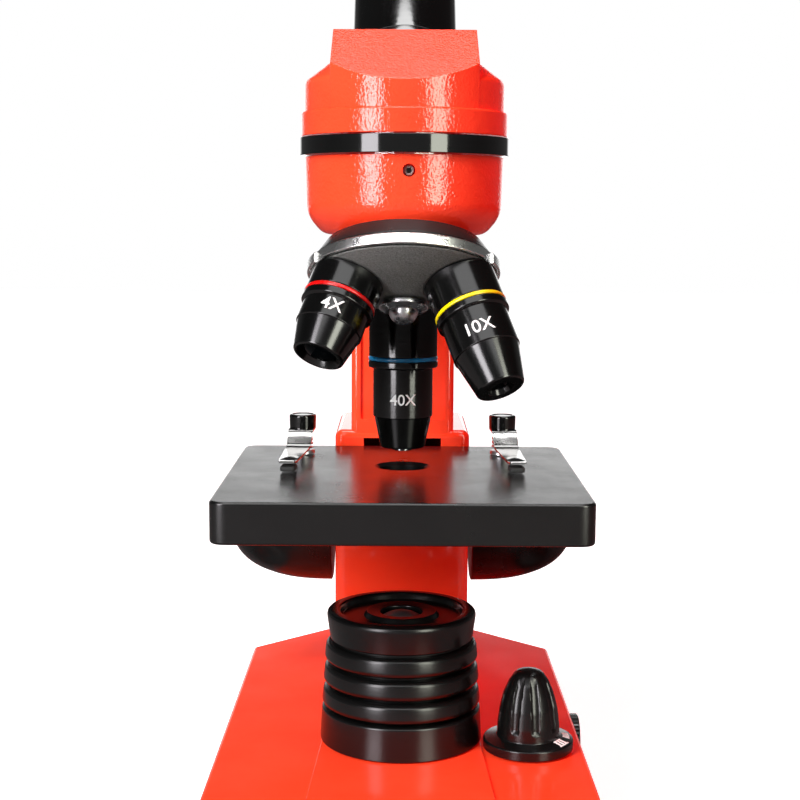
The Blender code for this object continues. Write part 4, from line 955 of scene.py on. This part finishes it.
def make_band(lens, axis):
    top, bottom = -lens.band - 0.12, -lens.band - BAND_WIDTH + 0.12
    inner = BAND_SEAT + 0.1
    ring = [(inner, top), (BAND_RADIUS, top, 0.4), (BAND_RADIUS, bottom, 0.4), (inner, bottom)]
    coloured = turned(f"colour_band_{lens.power}", ring, axis, 128)
    dress(coloured, lens.enamel, lens.slot, "turret", f"objective_{lens.power}_band")


def make_front_lens(lens, axis):
    radius = lens.recess * 0.8 - 0.2
    top = 1.4 - lens.tip
    rim = top - 0.3
    bulge = radius * 1.9
    dome = arc(0, rim + bulge * 0.85, bulge, -58.2, -90, 8)[:-1]
    profile = [(0, top), (radius, top), (radius, rim), *dome, (0, rim - bulge * 0.15)]
    front = turned(f"front_lens_{lens.power}", profile, axis, 48)
    dress(front, LENS_COATING, "optical_glass", "turret", f"objective_{lens.power}_lens")


def make_lens_mount(lens, axis):
    """The bright ring that holds the front lens of the strongest objective."""
    ring = [(radius, height - lens.tip, *rounding) for radius, height, *rounding in LENS_MOUNT]
    dress(turned(f"lens_mount_{lens.power}", ring, axis, 64), CHROME, "chrome", "turret")


for lens in OBJECTIVES:
    axis = objective_axis(lens.index)
    make_barrel(lens, axis)
    make_band(lens, axis)
    make_front_lens(lens, axis)
    if lens.power == "40x":
        make_lens_mount(lens, axis)
    height, above_tip, bearing = lens.letters
    words = (f"engraving_{lens.power}", lens.power.upper())
    letters = engraving(*words, height, lens.waist, above_tip - lens.tip, bearing, axis)
    dress(letters, WHITE_INK_PAINTED_GLOW, "led_white", "turret")

# %% [markdown]
# ## Head and tube
# The head is a drum with a cone for a roof, and a block slanted at the eyepiece's angle runs through it.
# The block is a flat outline seen from the side, kept only where it lies inside the drum's cylinder. Its
# brow, where the slanted face meets the round wall, gets a rounded edge, which is the bright line across
# the front of the head.

# %% The head casting
HEAD_RIDGE = 198.6
ROOF_START = 206.5
HEAD_RADIUS = 26.9
BLOCK_RADIUS = 26.1
BLOCK_HALF = 18.6
BROW_SLOPE = 30
ROOF_SLOPE = 37
TUBE_FACE = 16.5
TUBE_FLANGE = 16.3


def make_head_block():
    lean = math.sin(TUBE_SLANT * DEGREE)
    face_y, face_z = TUBE_FACE * lean, TUBE_FOOT_HEIGHT + TUBE_FACE * lean
    step = 17.2 * lean
    peak = (face_y - step, face_z + step)
    heel = (face_y + step, face_z - step)
    brow_y = -30
    brow_z = peak[1] - (peak[0] - brow_y) * math.tan(BROW_SLOPE * DEGREE)
    foot = HEAD_FOOT + 1.6
    outline = [(brow_y, foot), (heel[0], foot), heel, peak, (brow_y, brow_z)]
    head_block = slab("head block", outline, -BLOCK_HALF, BLOCK_HALF, SIDE_ON)
    combine(head_block, [rod("envelope", BLOCK_RADIUS, 180, 250, OPTICAL, 160)], "INTERSECT")
    return ease(head_block, 0.7, 5, 25)


def make_head():
    neck = BLOCK_RADIUS - 0.1
    run = 14
    roof = ROOF_START + run * math.tan(ROOF_SLOPE * DEGREE)
    profile = [
        (0, roof), (neck - run, roof), (neck, ROOF_START, 2.2), (neck, HEAD_RIDGE + 0.3),
        (HEAD_RADIUS, HEAD_RIDGE, 0.6), (HEAD_RADIUS, HEAD_FOOT, 0.3), (0, HEAD_FOOT),
    ]
    head = turned("head_casting", profile, OPTICAL, 160, 6)
    slab_half = BLOCK_HALF - 0.3
    cut(head, box("roof slab", (-slab_half, -60, 200), (slab_half, 60, 260), OPTICAL))
    join(head, make_head_block())
    hollow = [(0, 203), (12, 203), (20, 196), (22.5, 196), (22.5, 180), (0, 180)]
    cut(
        head,
        turned("hollow", hollow, OPTICAL, 64),
        rod("socket", 13.5, 4, 60, TUBE, 96),
        rod("spot face", TUBE_FLANGE + 0.8, TUBE_FACE, 60, TUBE, 96),
    )
    return dress(head, WRINKLE_PAINT, "orange_paint", "head", "head_housing")


make_head()

# %% Tube, eyepiece and eyecup
TUBE_END = 85
EYEPIECE_END = 100


def make_tube():
    foot = TUBE_FACE + 0.3
    bore = 11.9
    tube = [
        (bore, TUBE_END, 0.3), (14.5, TUBE_END, 0.5), (14.5, foot + 3.2, 0.4),
        (TUBE_FLANGE, foot + 3, 0.6), (TUBE_FLANGE, foot), (13.2, foot), (13.2, 13.2),
        (bore, 13.2),
    ]
    dress(turned("ocular_tube", tube, TUBE, 128), GLOSS_BLACK, "black_paint", "head", "eyepiece_tube")
    shoulder = TUBE_END + 0.3
    barrel = [
        (8.2, EYEPIECE_END - 1.6, 0.3), (10.6, EYEPIECE_END - 1.6, 0.4),
        (13.4, EYEPIECE_END - 5.2, 0.6), (14.2, EYEPIECE_END - 6.4, 0.6),
        (14.2, shoulder, 0.4), (11.6, shoulder), (11.6, TUBE_END - 29, 0.3),
        (9.6, TUBE_END - 29), (9.6, EYEPIECE_END - 6), (8.2, EYEPIECE_END - 6),
    ]
    anodised = barrel_black("black anodising ocular", TUBE)
    dress(turned("ocular_barrel", barrel, TUBE, 128), anodised, "black_paint", "eyepiece", "eyepiece_barrel")
    seat = EYEPIECE_END - 6
    bulge = 18
    lens = [(0, seat + 3.6), *arc(0, seat + 3.6 - bulge, bulge, 88, 64, 8), (7.9, seat), (0, seat)]
    dress(turned("ocular_lens", lens, TUBE, 64), GLASS, "optical_glass", "eyepiece", "eye_lens")
    rim = EYEPIECE_END
    cup = [
        (9, rim, 0.4), (10.6, rim, 0.5), (12.0, rim - 1.3, 1),
        (15.2, rim - 5.4, 1), (15.2, rim - 9, 0.3), (14.5, rim - 9),
        (14.5, rim - 6.2), (13.6, rim - 4.9), (10.9, rim - 1.3), (9, rim - 1.3),
    ]
    dress(turned("ocular_cup", cup, TUBE, 128), RUBBER, "rubber", "eyepiece", "eyecup")


make_tube()

# %% [markdown]
# ## Stage
# The stage is a thick plate with rounded corners, a light hole and two sprung clips. Its satin paint
# mirrors the column and the backdrop at the low angle of the picture, so its roughness matters more than
# its colour.

# %% The stage plate
STAGE_TOP = 105.75
STAGE_LOW = 95.45
CLIP_X = 28
CLIP_Y = 20
DISC = OPTICAL @ at(-17, -4, 0)


def make_stage():
    outline = rectangle(45.65, -52.7, 35.3, 4.5)
    stage = ease(slab("stage_table", outline, STAGE_LOW, STAGE_TOP, OPTICAL, 10), 0.7, 4, 40)
    hole, above_top, below_all = 6.5, STAGE_TOP + 1, 80
    funnel = [
        (0, above_top), (hole + 0.9, above_top), (hole + 0.9, STAGE_TOP - 0.01), (hole, STAGE_TOP - 0.9),
        (hole, below_all), (0, below_all),
    ]
    cut(
        stage,
        turned("hole", funnel, OPTICAL, 96),
        rod("disc screw hole", 2.1, below_all, STAGE_LOW + 4.5, DISC),
    )
    for side in (-1, 1):
        place = OPTICAL @ at(side * CLIP_X, CLIP_Y, 0)
        cut(stage, rod("stem hole", 1.7, STAGE_TOP - 6, 120, place, 32))
    return dress(stage, SATIN_BLACK, "stage_black", "stage", "stage_plate")


make_stage()

# %% [markdown]
# ## Stage clips
# Each clip is a sprung steel strip, held under a black cap by a coil spring, with a rubber shoe at its tip.
# The strip is a thin sheet of few points, rounded by Subdivision Surface and thickened by Solidify, with a
# dome pressed up near the tip. The spring is a spiral curve in Geometry Nodes, swept by a small circle.

# %% The spring tree
def make_coil_tree():
    """A wire wound round the Z axis, as a spiral swept by a small circle."""
    inputs = {
        "Turns": ("Float", 3.0), "Radius": ("Float", 3.0), "Height": ("Float", 5.0), "Wire": ("Float", 0.3),
    }
    tree, start = new_tree("coil spring", inputs)
    radii = {"Start_Radius": start["Radius"], "End_Radius": start["Radius"]}
    winding = {"Resolution": 32, "Rotations": start["Turns"], "Height": start["Height"]}
    spiral = node(tree, "GeometryNodeCurveSpiral", **winding, **radii)["Curve"]
    section = node(tree, "GeometryNodeCurvePrimitiveCircle", Resolution=12, Radius=start["Wire"])["Curve"]
    coil = node(tree, "GeometryNodeCurveToMesh", Curve=spiral, Profile_Curve=section, Fill_Caps=True)["Mesh"]
    close_tree(tree, coil, start)
    return tree


COIL_TREE = make_coil_tree()


# %% The clips
LEVER = (
    (3.9, 6.95, 3.0), (2.6, 7.0, 3.4), (-1, 7.0, 3.5), (-3.7, 6.97, 3.5), (-4.5, 6.75, 3.5),
    (-6.5, 5.25, 3.45), (-9, 3.45, 3.35), (-10, 3.0, 3.3), (-14, 2.85, 3.15), (-20, 2.75, 2.9),
    (-27, 2.6, 2.6), (-31, 2.55, 2.4), (-32.6, 2.65, 2.2), (-33.5, 2.9, 1.9),
)
DIMPLE_Y = -28.5
DIMPLE_RADIUS = 1.5
DIMPLE_HEIGHT = 0.7
CLIP_TOE_OUT = 3.5


def make_lever(name, place):
    """Rows of five points along the strip: distance from the stem, height and half width."""
    bm = bmesh.new()
    rows = []
    for y, z, half in LEVER:
        rows.append([bm.verts.new((share * half * MM, y * MM, z * MM)) for share in (-1, -0.9, 0, 0.9, 1)])
    for row, below in zip(rows, rows[1:]):
        for index in range(4):
            bm.faces.new((row[index], below[index], below[index + 1], row[index + 1]))
    bmesh.ops.subdivide_edges(bm, edges=bm.edges[:], cuts=2, use_grid_fill=True)
    for vertex in bm.verts:
        away = math.hypot(vertex.co.x, vertex.co.y - DIMPLE_Y * MM) / (DIMPLE_RADIUS * MM)
        vertex.co.z += DIMPLE_HEIGHT * MM * math.exp(-away * away)
    unmoved = Matrix.Identity(4)
    lever = piece_from(name, bm, unmoved)
    smooth = lever.modifiers.new("smooth", "SUBSURF")
    smooth.levels = 2
    smooth.render_levels = 2
    sheet = lever.modifiers.new("sheet", "SOLIDIFY")
    sheet.thickness = 0.6 * MM
    sheet.offset = -1
    settle(lever)
    cut(lever, rod("stem hole", 2.2, 2, 12, unmoved, 48))
    ease(lever, 0.12, 2, 50)
    lever.data.transform(place)
    return lever


def make_clip(side_name, side):
    place = OPTICAL @ at(side * CLIP_X, CLIP_Y, STAGE_TOP) @ rotate(side * CLIP_TOE_OUT, "Z")
    clip = f"clip_{side_name}"
    swivel, arm = clip + "_swivel", clip + "_arm"
    stem = 1.4
    post = [
        (0, 7), (stem, 7, 0.2), (stem, 1.3), (3.3, 1.3, 0.3), (3.4, 0.3), (stem, 0.3), (stem, -5.6),
        (0, -5.6),
    ]
    dress(turned(f"clip_post_{side_name}", post, place, 48), STEEL, "steel", swivel, clip + "_post")
    cap = [
        (0, 11.1), (2.7, 11.1, 0.3), (2.9, 11.3, 0.2), (3.75, 11.3, 0.6), (3.65, 7.35, 0.3), (2.3, 7.35),
        (2.3, 9.3), (0, 9.3),
    ]
    dress(turned(f"clip_cap_{side_name}", cap, place, 64), GLOSS_BLACK, "black_plastic", arm, clip + "_cap")
    dress(make_lever(f"clip_strip_{side_name}", place), CHROME, "chrome", arm, clip + "_lever", sharp=50)
    shoe = slab(f"clip_shoe_{side_name}", rectangle(2, -32.5, -27, 1), 0.35, 1.7, place)
    dress(ease(shoe, 0.4, 3, 40), RUBBER, "rubber", arm, clip + "_pad")
    wire = 0.35
    low, high = 1.6 + wire, 6.1 - wire
    values = {"Turns": 3.5, "Radius": 2.6, "Height": high - low, "Wire": wire, "Material": STEEL}
    coil = grown(f"clip_coil_{side_name}", COIL_TREE, values, place @ at(0, 0, low))
    dress(coil, STEEL, "steel", swivel, clip + "_spring")


make_clip("left", -1)
make_clip("right", 1)

# %% [markdown]
# ## Focus wheels
# The two big wheels are domed, with six finger hollows round each. A Boolean with spheres would leave hard
# rims, and the moulded ones are soft. So the dome is turned first, and its points are then pushed out of
# six spheres with a smooth limit, which rolls the rim of each hollow.

# %% The wheels
WHEEL_RADIUS = 18
WHEEL_END = 52.4
WHEEL_ROUNDNESS = 2.45
HOLLOWS = 6
HOLLOW_RADIUS = 9
HOLLOW_DEPTH = 4
ROLLED_EDGE = 0.4


def pushed_out(point, centre, radius, softness):
    """The point moved straight away from a sphere's centre, until it is outside, with a rolled edge."""
    away = point - centre
    depth = (radius - away.length) / softness
    shift = softness * math.log1p(math.exp(min(depth, 60)))
    return point + away.normalized() * shift


def dome_outline(radius, foot, end, steps=28):
    """A quarter of a superellipse, rounder in the shoulder than a circle, from its top to its rim."""
    power = 2 / WHEEL_ROUNDNESS
    points = [(0, end)]
    for step in range(1, steps + 1):
        angle = (90 - 90 * step / steps) * DEGREE
        height = foot + (end - foot) * math.sin(angle) ** power
        points.append((radius * math.cos(angle) ** power, height))
    return points


def make_wheel(side_name, turn):
    inner = COLUMN_HALF + 1.6
    bore, bore_end = 3.3, 45.3
    profile = dome_outline(WHEEL_RADIUS, inner, WHEEL_END)
    profile += [(17.2, inner - 0.3), (12, inner - 0.1), (bore, inner + 0.2), (bore, bore_end), (0, bore_end)]
    wheel = turned(f"focus_wheel_{side_name}", profile, Matrix.Identity(4), 144)
    out = WHEEL_RADIUS + HOLLOW_RADIUS - HOLLOW_DEPTH
    for number in range(HOLLOWS):
        around = number * 360 / HOLLOWS * DEGREE
        centre = Vector((out * math.cos(around), out * math.sin(around), inner + 21)) * MM
        for vertex in wheel.data.vertices:
            if math.hypot(vertex.co.x, vertex.co.y) > 5 * MM and vertex.co.z > (inner + 1) * MM:
                vertex.co = pushed_out(vertex.co, centre, HOLLOW_RADIUS * MM, ROLLED_EDGE * MM)
    wheel.data.transform(FOCUS @ rotate(turn, "X"))
    return dress(wheel, WHEEL_BLACK, "black_plastic", "focus_drive", f"focus_knob_{side_name}")


make_wheel("right", 0)
make_wheel("left", 180)

# %% [markdown]
# ## Light selector
# The selector is a bullet on a wide skirt, with nine flutes. The flutes narrow towards the top, which an
# array of cutters does badly, so the turned points themselves are drawn in by a formula of angle and
# height. The marks on the skirt are the usual ones for the three ways of lighting, as thin white solids
# laid on its slope.

# %% The selector
SELECTOR = OPTICAL @ at(SELECTOR_X, SELECTOR_Y, 0)
BULLET = ((2.3, 52.1), (3.7, 51.3), (5.4, 48.8), (6.8, 45.6), (7.7, 42), (8.3, 37.4), (8.4, 34.4))
BULLET_STEP = 0.35
SKIRT_RADIUS = 12.1
SKIRT_SLOPE = ((8.9, 33.85), (11.6, 33.2))
FLUTES = 9
FLUTE_LOW = 36.2
FLUTE_HIGH = 50.6
FLUTE_DEPTH = 0.5


def flute_depth(angle, height):
    """How far a flute draws the surface in at that angle and height."""
    if not FLUTE_LOW < height < FLUTE_HIGH:
        return 0.0
    pitch = 2 * math.pi / FLUTES
    offset = abs((angle + pitch / 2) % pitch - pitch / 2)
    half_width = 0.36 * pitch / 2 * (1 + 0.6 * (height - FLUTE_LOW) / (FLUTE_HIGH - FLUTE_LOW))
    across = max(0.0, 1 - (offset / half_width) ** 2)
    ends = min(1.0, (height - FLUTE_LOW) / 0.8, (FLUTE_HIGH - height) / 2.5)
    return FLUTE_DEPTH * math.sqrt(across) * ends


def finely(points, spacing):
    """The line down through the points in short steps, without its last point."""
    fine = []
    for (radius, height), (next_radius, next_height) in zip(points, points[1:]):
        count = max(2, round((height - next_height) / spacing))
        for step in range(count):
            share = step / count
            fine.append((radius + (next_radius - radius) * share, height + (next_height - height) * share))
    return fine


def smoothed(points):
    """The same line with its corners averaged away, and its two ends kept."""
    line = [Vector(point) for point in points]
    inner = [(before + 2 * here + after) / 4 for before, here, after in zip(line, line[1:], line[2:])]
    return [line[0], *inner, line[-1]]


def make_selector():
    foot = BASE_TOP + 0.5
    outline = smoothed(smoothed([(0, 52.2), *finely(BULLET, BULLET_STEP)]))
    profile = outline + [
        BULLET[-1], (8.4, 33.9, 0.3), (SKIRT_RADIUS, 33.1, 0.5), (SKIRT_RADIUS, foot, 0.3), (2.5, foot),
        (2.5, 20), (0, 20),
    ]
    knob = turned("light_selector", profile, Matrix.Identity(4), 252)
    for vertex in knob.data.vertices:
        radius = math.hypot(vertex.co.x, vertex.co.y) / MM
        if radius > 3:
            drawn = 1 - flute_depth(math.atan2(vertex.co.y, vertex.co.x), vertex.co.z / MM) / radius
            vertex.co.x *= drawn
            vertex.co.y *= drawn
    knob.data.transform(SELECTOR)
    return dress(knob, MOULDED_BLACK, "black_plastic", "light_selector", "light_selector_knob", sharp=40)


def skirt_bar(bm, near, far, start, end):
    """A thin white bar on the skirt between two radii and two bearings in degrees."""
    (inner, high), (outer, low) = SKIRT_SLOPE
    lift, thickness = 0.02, 0.05
    corners = []
    for radius, angle in ((near, start), (far, start), (far, end), (near, end)):
        height = high + (low - high) * (radius - inner) / (outer - inner) + lift
        x, y = radius * math.sin(angle * DEGREE), -radius * math.cos(angle * DEGREE)
        corners.append(Vector((x, y, height)))
    lower = [bm.verts.new(corner * MM) for corner in corners]
    upper = [bm.verts.new((corner + Vector((0, 0, thickness))) * MM) for corner in corners]
    bm.faces.new(lower)
    bm.faces.new(upper)
    for index in range(4):
        after = (index + 1) % 4
        bm.faces.new((lower[index], lower[after], upper[after], upper[index]))


def make_marks():
    bm = bmesh.new()
    for start in (46, 53, 60):
        skirt_bar(bm, 8.8, 11.4, start, start + 4.4)
    for radius in (8.8, 11.1):
        skirt_bar(bm, radius, radius + 0.35, 44.5, 66)
    for number in range(5):
        skirt_bar(bm, 9.3, 11.1, 80 + number * 4.4, 83 + number * 4.4)
    marks = piece_from("selector_marks", bm, SELECTOR)
    return dress(marks, WHITE_INK_PAINTED_GLOW, "led_white", "light_selector")


make_selector()
make_marks()

# %% [markdown]
# ## Dimmer
# The dimmer is a small dial that stands out of the right wall, with a knurl for the thumb. The knurl
# follows a rule, a count of equal ridges round a circle, so Geometry Nodes instance one ridge.

# %% The knurl tree and the dial
def make_knurl_tree():
    """Ridges standing round a circle, each a square bar set on its corner and half sunk in the piece."""
    inputs = {
        "Count": ("Int", 90), "Radius": ("Float", 20.0), "Width": ("Float", 1.0), "Length": ("Float", 2.0),
    }
    tree, start = new_tree("straight knurl", inputs)
    ring = node(tree, "GeometryNodeMeshCircle", Vertices=start["Count"], Radius=start["Radius"])["Mesh"]
    size = node(tree, "ShaderNodeCombineXYZ", X=start["Width"], Y=start["Width"], Z=start["Length"])["Vector"]
    bar = node(tree, "GeometryNodeMeshCube", Size=size)["Mesh"]
    bar = node(tree, "GeometryNodeTransform", Geometry=bar, Rotation=(0, 0, 45 * DEGREE))["Geometry"]
    place = node(tree, "GeometryNodeInputPosition")["Position"]
    outward = node(tree, "FunctionNodeAlignRotationToVector", {"axis": "X"}, Vector=place)["Rotation"]
    spread = {"Points": ring, "Instance": bar, "Rotation": outward}
    close_tree(tree, node(tree, "GeometryNodeInstanceOnPoints", **spread)["Instances"], start)
    return tree


KNURL_TREE = make_knurl_tree()


def make_dial():
    wall, end, radius = BASE_HALF, 52.4, 7.3
    profile = [
        (0, end - 0.2), (radius - 1.6, end - 0.2, 0.2), (radius - 1.2, end, 0.2),
        (radius, end, 0.4), (radius, wall + 0.3, 0.2), (2.5, wall + 0.3),
        (2.5, wall - 12), (0, wall - 12),
    ]
    dial = turned("dimmer_dial", profile, DIAL, 96)
    dress(dial, MOULDED_BLACK, "black_plastic", "brightness_dial", "brightness_knob")
    values = {"Count": 36, "Radius": radius - 0.1, "Width": 0.6, "Length": 1.9, "Material": MOULDED_BLACK}
    grip = grown("dimmer_knurl", KNURL_TREE, values, DIAL @ at(0, 0, (wall + end) / 2 + 0.15))
    dress(grip, MOULDED_BLACK, "black_plastic", "brightness_dial")


make_dial()

# %% [markdown]
# ## Finishes for the pieces that keep their CAD shape
# The rack, pinion, shaft, prism and the other inner pieces are flat-sided or hidden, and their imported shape
# is already right. They only take a finish, by the material slot that the record gives them.

# %% Dress the carried-over pieces
SLOT_FINISH = {
    "orange_paint": SMOOTH_PAINT, "black_paint": GLOSS_BLACK, "black_plastic": MOULDED_BLACK,
    "stage_black": SATIN_BLACK, "rubber": RUBBER, "chrome": CHROME, "steel": STEEL, "aluminium": ALUMINIUM,
    "brass": BRASS, "optical_glass": GLASS, "band_red": RED_ENAMEL, "band_yellow": YELLOW_ENAMEL,
    "band_blue": BLUE_ENAMEL, "board_green": BOARD_GREEN, "led_white": LED_RESIN,
}
carried = []
for subpart in frame["record"]["subparts"]:
    piece = frame["nodes"][subpart["node"]]
    if not piece.hide_render:
        piece.data.materials.clear()
        piece.data.materials.append(SLOT_FINISH[subpart["material_slot"]])
        carried.append(piece.name)
print("carried over:", carried)

# %% [markdown]
# ## Studio
# The picture was taken on a white sweep, between two tall soft lights that show as two bright stripes on
# every round piece. One set of lamps could do it all, but then the stripes fix how bright the paint is. So
# the strips, the top lights and the overhead light are seen only by reflections, and a key from the left
# with a warm fill from the right lights the paint. The world is white for the camera and the glass, and for
# a reflection it is a dim room, with the lit backdrop straight behind.

# %% Camera
PICTURE = 800
FOCAL_PIXELS = 1479
SENSOR = 36.0
PITCH = 7.05
ROLL = 0.34
CAMERA_SIDE = -0.75
CAMERA_DISTANCE = 391.7
CAMERA_HEIGHT = 172


def make_camera():
    data = bpy.data.cameras.new("camera")
    data.sensor_width = SENSOR
    data.lens = SENSOR * FOCAL_PIXELS / PICTURE
    data.clip_start = 0.01
    camera = bpy.data.objects.new("camera", data)
    bpy.context.scene.collection.objects.link(camera)
    place = OPTICAL @ at(CAMERA_SIDE, -CAMERA_DISTANCE, CAMERA_HEIGHT)
    camera.matrix_world = place @ rotate(90 - PITCH, "X") @ rotate(ROLL, "Z")
    bpy.context.scene.camera = camera
    return camera


camera = make_camera()
print("lens in mm:", round(camera.data.lens, 1))


# %% World
WHITE = (1, 1, 1, 1)
ROOM_FRONT = 0.30
ROOM_SIDE = 0.12
BACKDROP = 1.8
AMBIENT = 0.02


def ramp(tree, value, low, high, from_value, to_value):
    """A soft step from one value to another."""
    ends = {"From Min": low, "From Max": high, "To Min": from_value, "To Max": to_value}
    soft = {"interpolation_type": "SMOOTHSTEP"}
    return node(tree, "ShaderNodeMapRange", soft, Value=value, **ends)["Result"]


def looked_through(tree, path):
    """One for what the camera sees, straight or through glass."""
    return maths(tree, "MAXIMUM", path["Is Camera Ray"], path["Is Transmission Ray"])


def make_world():
    world = bpy.data.worlds.new("studio")
    bpy.context.scene.world = world
    world.use_nodes = True
    tree = world.node_tree
    tree.nodes.clear()
    path = node(tree, "ShaderNodeLightPath")
    parts = node(tree, "ShaderNodeSeparateXYZ", Vector=node(tree, "ShaderNodeTexCoord")["Generated"])
    behind = ramp(tree, parts["Y"], 0.86, 0.95, 0.0, BACKDROP)
    low_down = ramp(tree, parts["Z"], 0.19, 0.24, 1.0, 0.0)
    first_mirror = maths(tree, "LESS_THAN", path["Glossy Depth"], 1.5)
    backdrop = maths(tree, "MULTIPLY", maths(tree, "MULTIPLY", behind, low_down), first_mirror)
    walls = ramp(tree, parts["Y"], -1.0, 0.0, ROOM_FRONT, ROOM_SIDE)
    room = maths(tree, "MULTIPLY", walls, ramp(tree, parts["Z"], 0.2, 0.4, 1.0, 0.25))
    mirrored = maths(tree, "MULTIPLY", path["Is Glossy Ray"], maths(tree, "MAXIMUM", backdrop, room))
    others = maths(tree, "MULTIPLY", maths(tree, "SUBTRACT", 1.0, path["Is Glossy Ray"]), AMBIENT)
    strength = maths(tree, "MAXIMUM", looked_through(tree, path), maths(tree, "ADD", mirrored, others))
    background = node(tree, "ShaderNodeBackground", Color=WHITE, Strength=strength)["Background"]
    node(tree, "ShaderNodeOutputWorld", Surface=background)


make_world()


# %% Lights
LAMP_DISTANCE = 1.1
PLAIN = (1.0, 1.0, 1.0)
WARM = (1.0, 0.04, 0.03)
PINKISH = (1.0, 0.96, 1.0)
GREENISH = (0.98, 1.0, 0.86)


def soft_light(name, bearing, height, elevation, size, radiance, colour, seen_by):
    """A softbox that faces a point on the optical axis and is seen by diffuse or by glossy rays. Its height
    and size are in metres, bearing is the angle from the front, and radiance its brightness in a mirror."""
    width, length = size
    target = Vector((0, optical_y, height))
    level = math.cos(elevation * DEGREE)
    sideways, forward = math.sin(bearing * DEGREE) * level, math.cos(bearing * DEGREE) * level
    away = Vector((sideways, -forward, math.sin(elevation * DEGREE)))
    data = bpy.data.lights.new(name, "AREA")
    data.shape = "RECTANGLE"
    data.size = width
    data.size_y = length
    data.energy = radiance * math.pi * width * length
    data.color = colour
    light = bpy.data.objects.new(name, data)
    bpy.context.scene.collection.objects.link(light)
    light.location = target + away * LAMP_DISTANCE
    light.rotation_euler = (-away).to_track_quat("-Z", "Y").to_euler()
    light.visible_diffuse = seen_by == "diffuse"
    light.visible_glossy = seen_by == "glossy"


def make_lights():
    soft_light("key", -37, 0.12, 36, (0.35, 1.0), 24, PLAIN, "diffuse")
    soft_light("warm fill", 85, 0.12, 45, (0.5, 0.7), 7, WARM, "diffuse")
    soft_light("left strip", -37, 0.46, 0, (0.35, 1.0), 15, PINKISH, "glossy")
    soft_light("right strip", 37, 0.46, 0, (0.35, 1.0), 12, GREENISH, "glossy")
    soft_light("front top", 0, 0.17, 52, (0.9, 0.8), 3, PLAIN, "glossy")
    soft_light("overhead", 180, 0.17, 63, (1.0, 0.32), 1.6, PLAIN, "glossy")
    soft_light("zenith strip", 180, 0.17, 88, (0.8, 0.25), 12, PLAIN, "glossy")


make_lights()


# %% Floor
FLOOR_HALF = 3.0
MIRRORED_FLOOR = (0.18, 0.18, 0.18, 1)


def make_floor():
    """A white sweep. The camera sees it glow just under white, so that it blends into the world and keeps the
    shadow, and what the microscope mirrors of it is grey."""
    bm = bmesh.new()
    near, far = -FLOOR_HALF, FLOOR_HALF
    corners = ((near, near), (far, near), (far, far), (near, far))
    bm.faces.new([bm.verts.new((x, y, 0)) for x, y in corners])
    mesh = bpy.data.meshes.new("floor")
    bm.to_mesh(mesh)
    bm.free()
    floor = bpy.data.objects.new("floor", mesh)
    bpy.context.scene.collection.objects.link(floor)
    material = finish("white sweep", (0.78, 0.78, 0.78), (0.82, 0.82, 0.82), (0.8, 0.9), (GRAIN, {}), 0.01)
    tree = material.node_tree
    shader = tree.nodes["Principled BSDF"]
    path = node(tree, "ShaderNodeLightPath")
    bounced = maths(tree, "MAXIMUM", path["Is Glossy Ray"], path["Is Diffuse Ray"])
    sweep = shader.inputs["Base Color"].links[0].from_socket
    colour = node(tree, "ShaderNodeMix", {"data_type": "RGBA"}, Factor=bounced, A=sweep, B=MIRRORED_FLOOR)
    tree.links.new(colour["Result"], shader.inputs["Base Color"])
    away = node(tree, "ShaderNodeVectorMath", {"operation": "LENGTH"}, Vector=position(tree))["Value"]
    glow = maths(tree, "MULTIPLY", looked_through(tree, path), ramp(tree, away, 0.15, 0.4, 0.93, 1.0))
    shader.inputs["Emission Color"].default_value = WHITE
    tree.links.new(glow, shader.inputs["Emission Strength"])
    mesh.materials.append(material)


make_floor()
bpy.context.scene.view_settings.view_transform = "Standard"
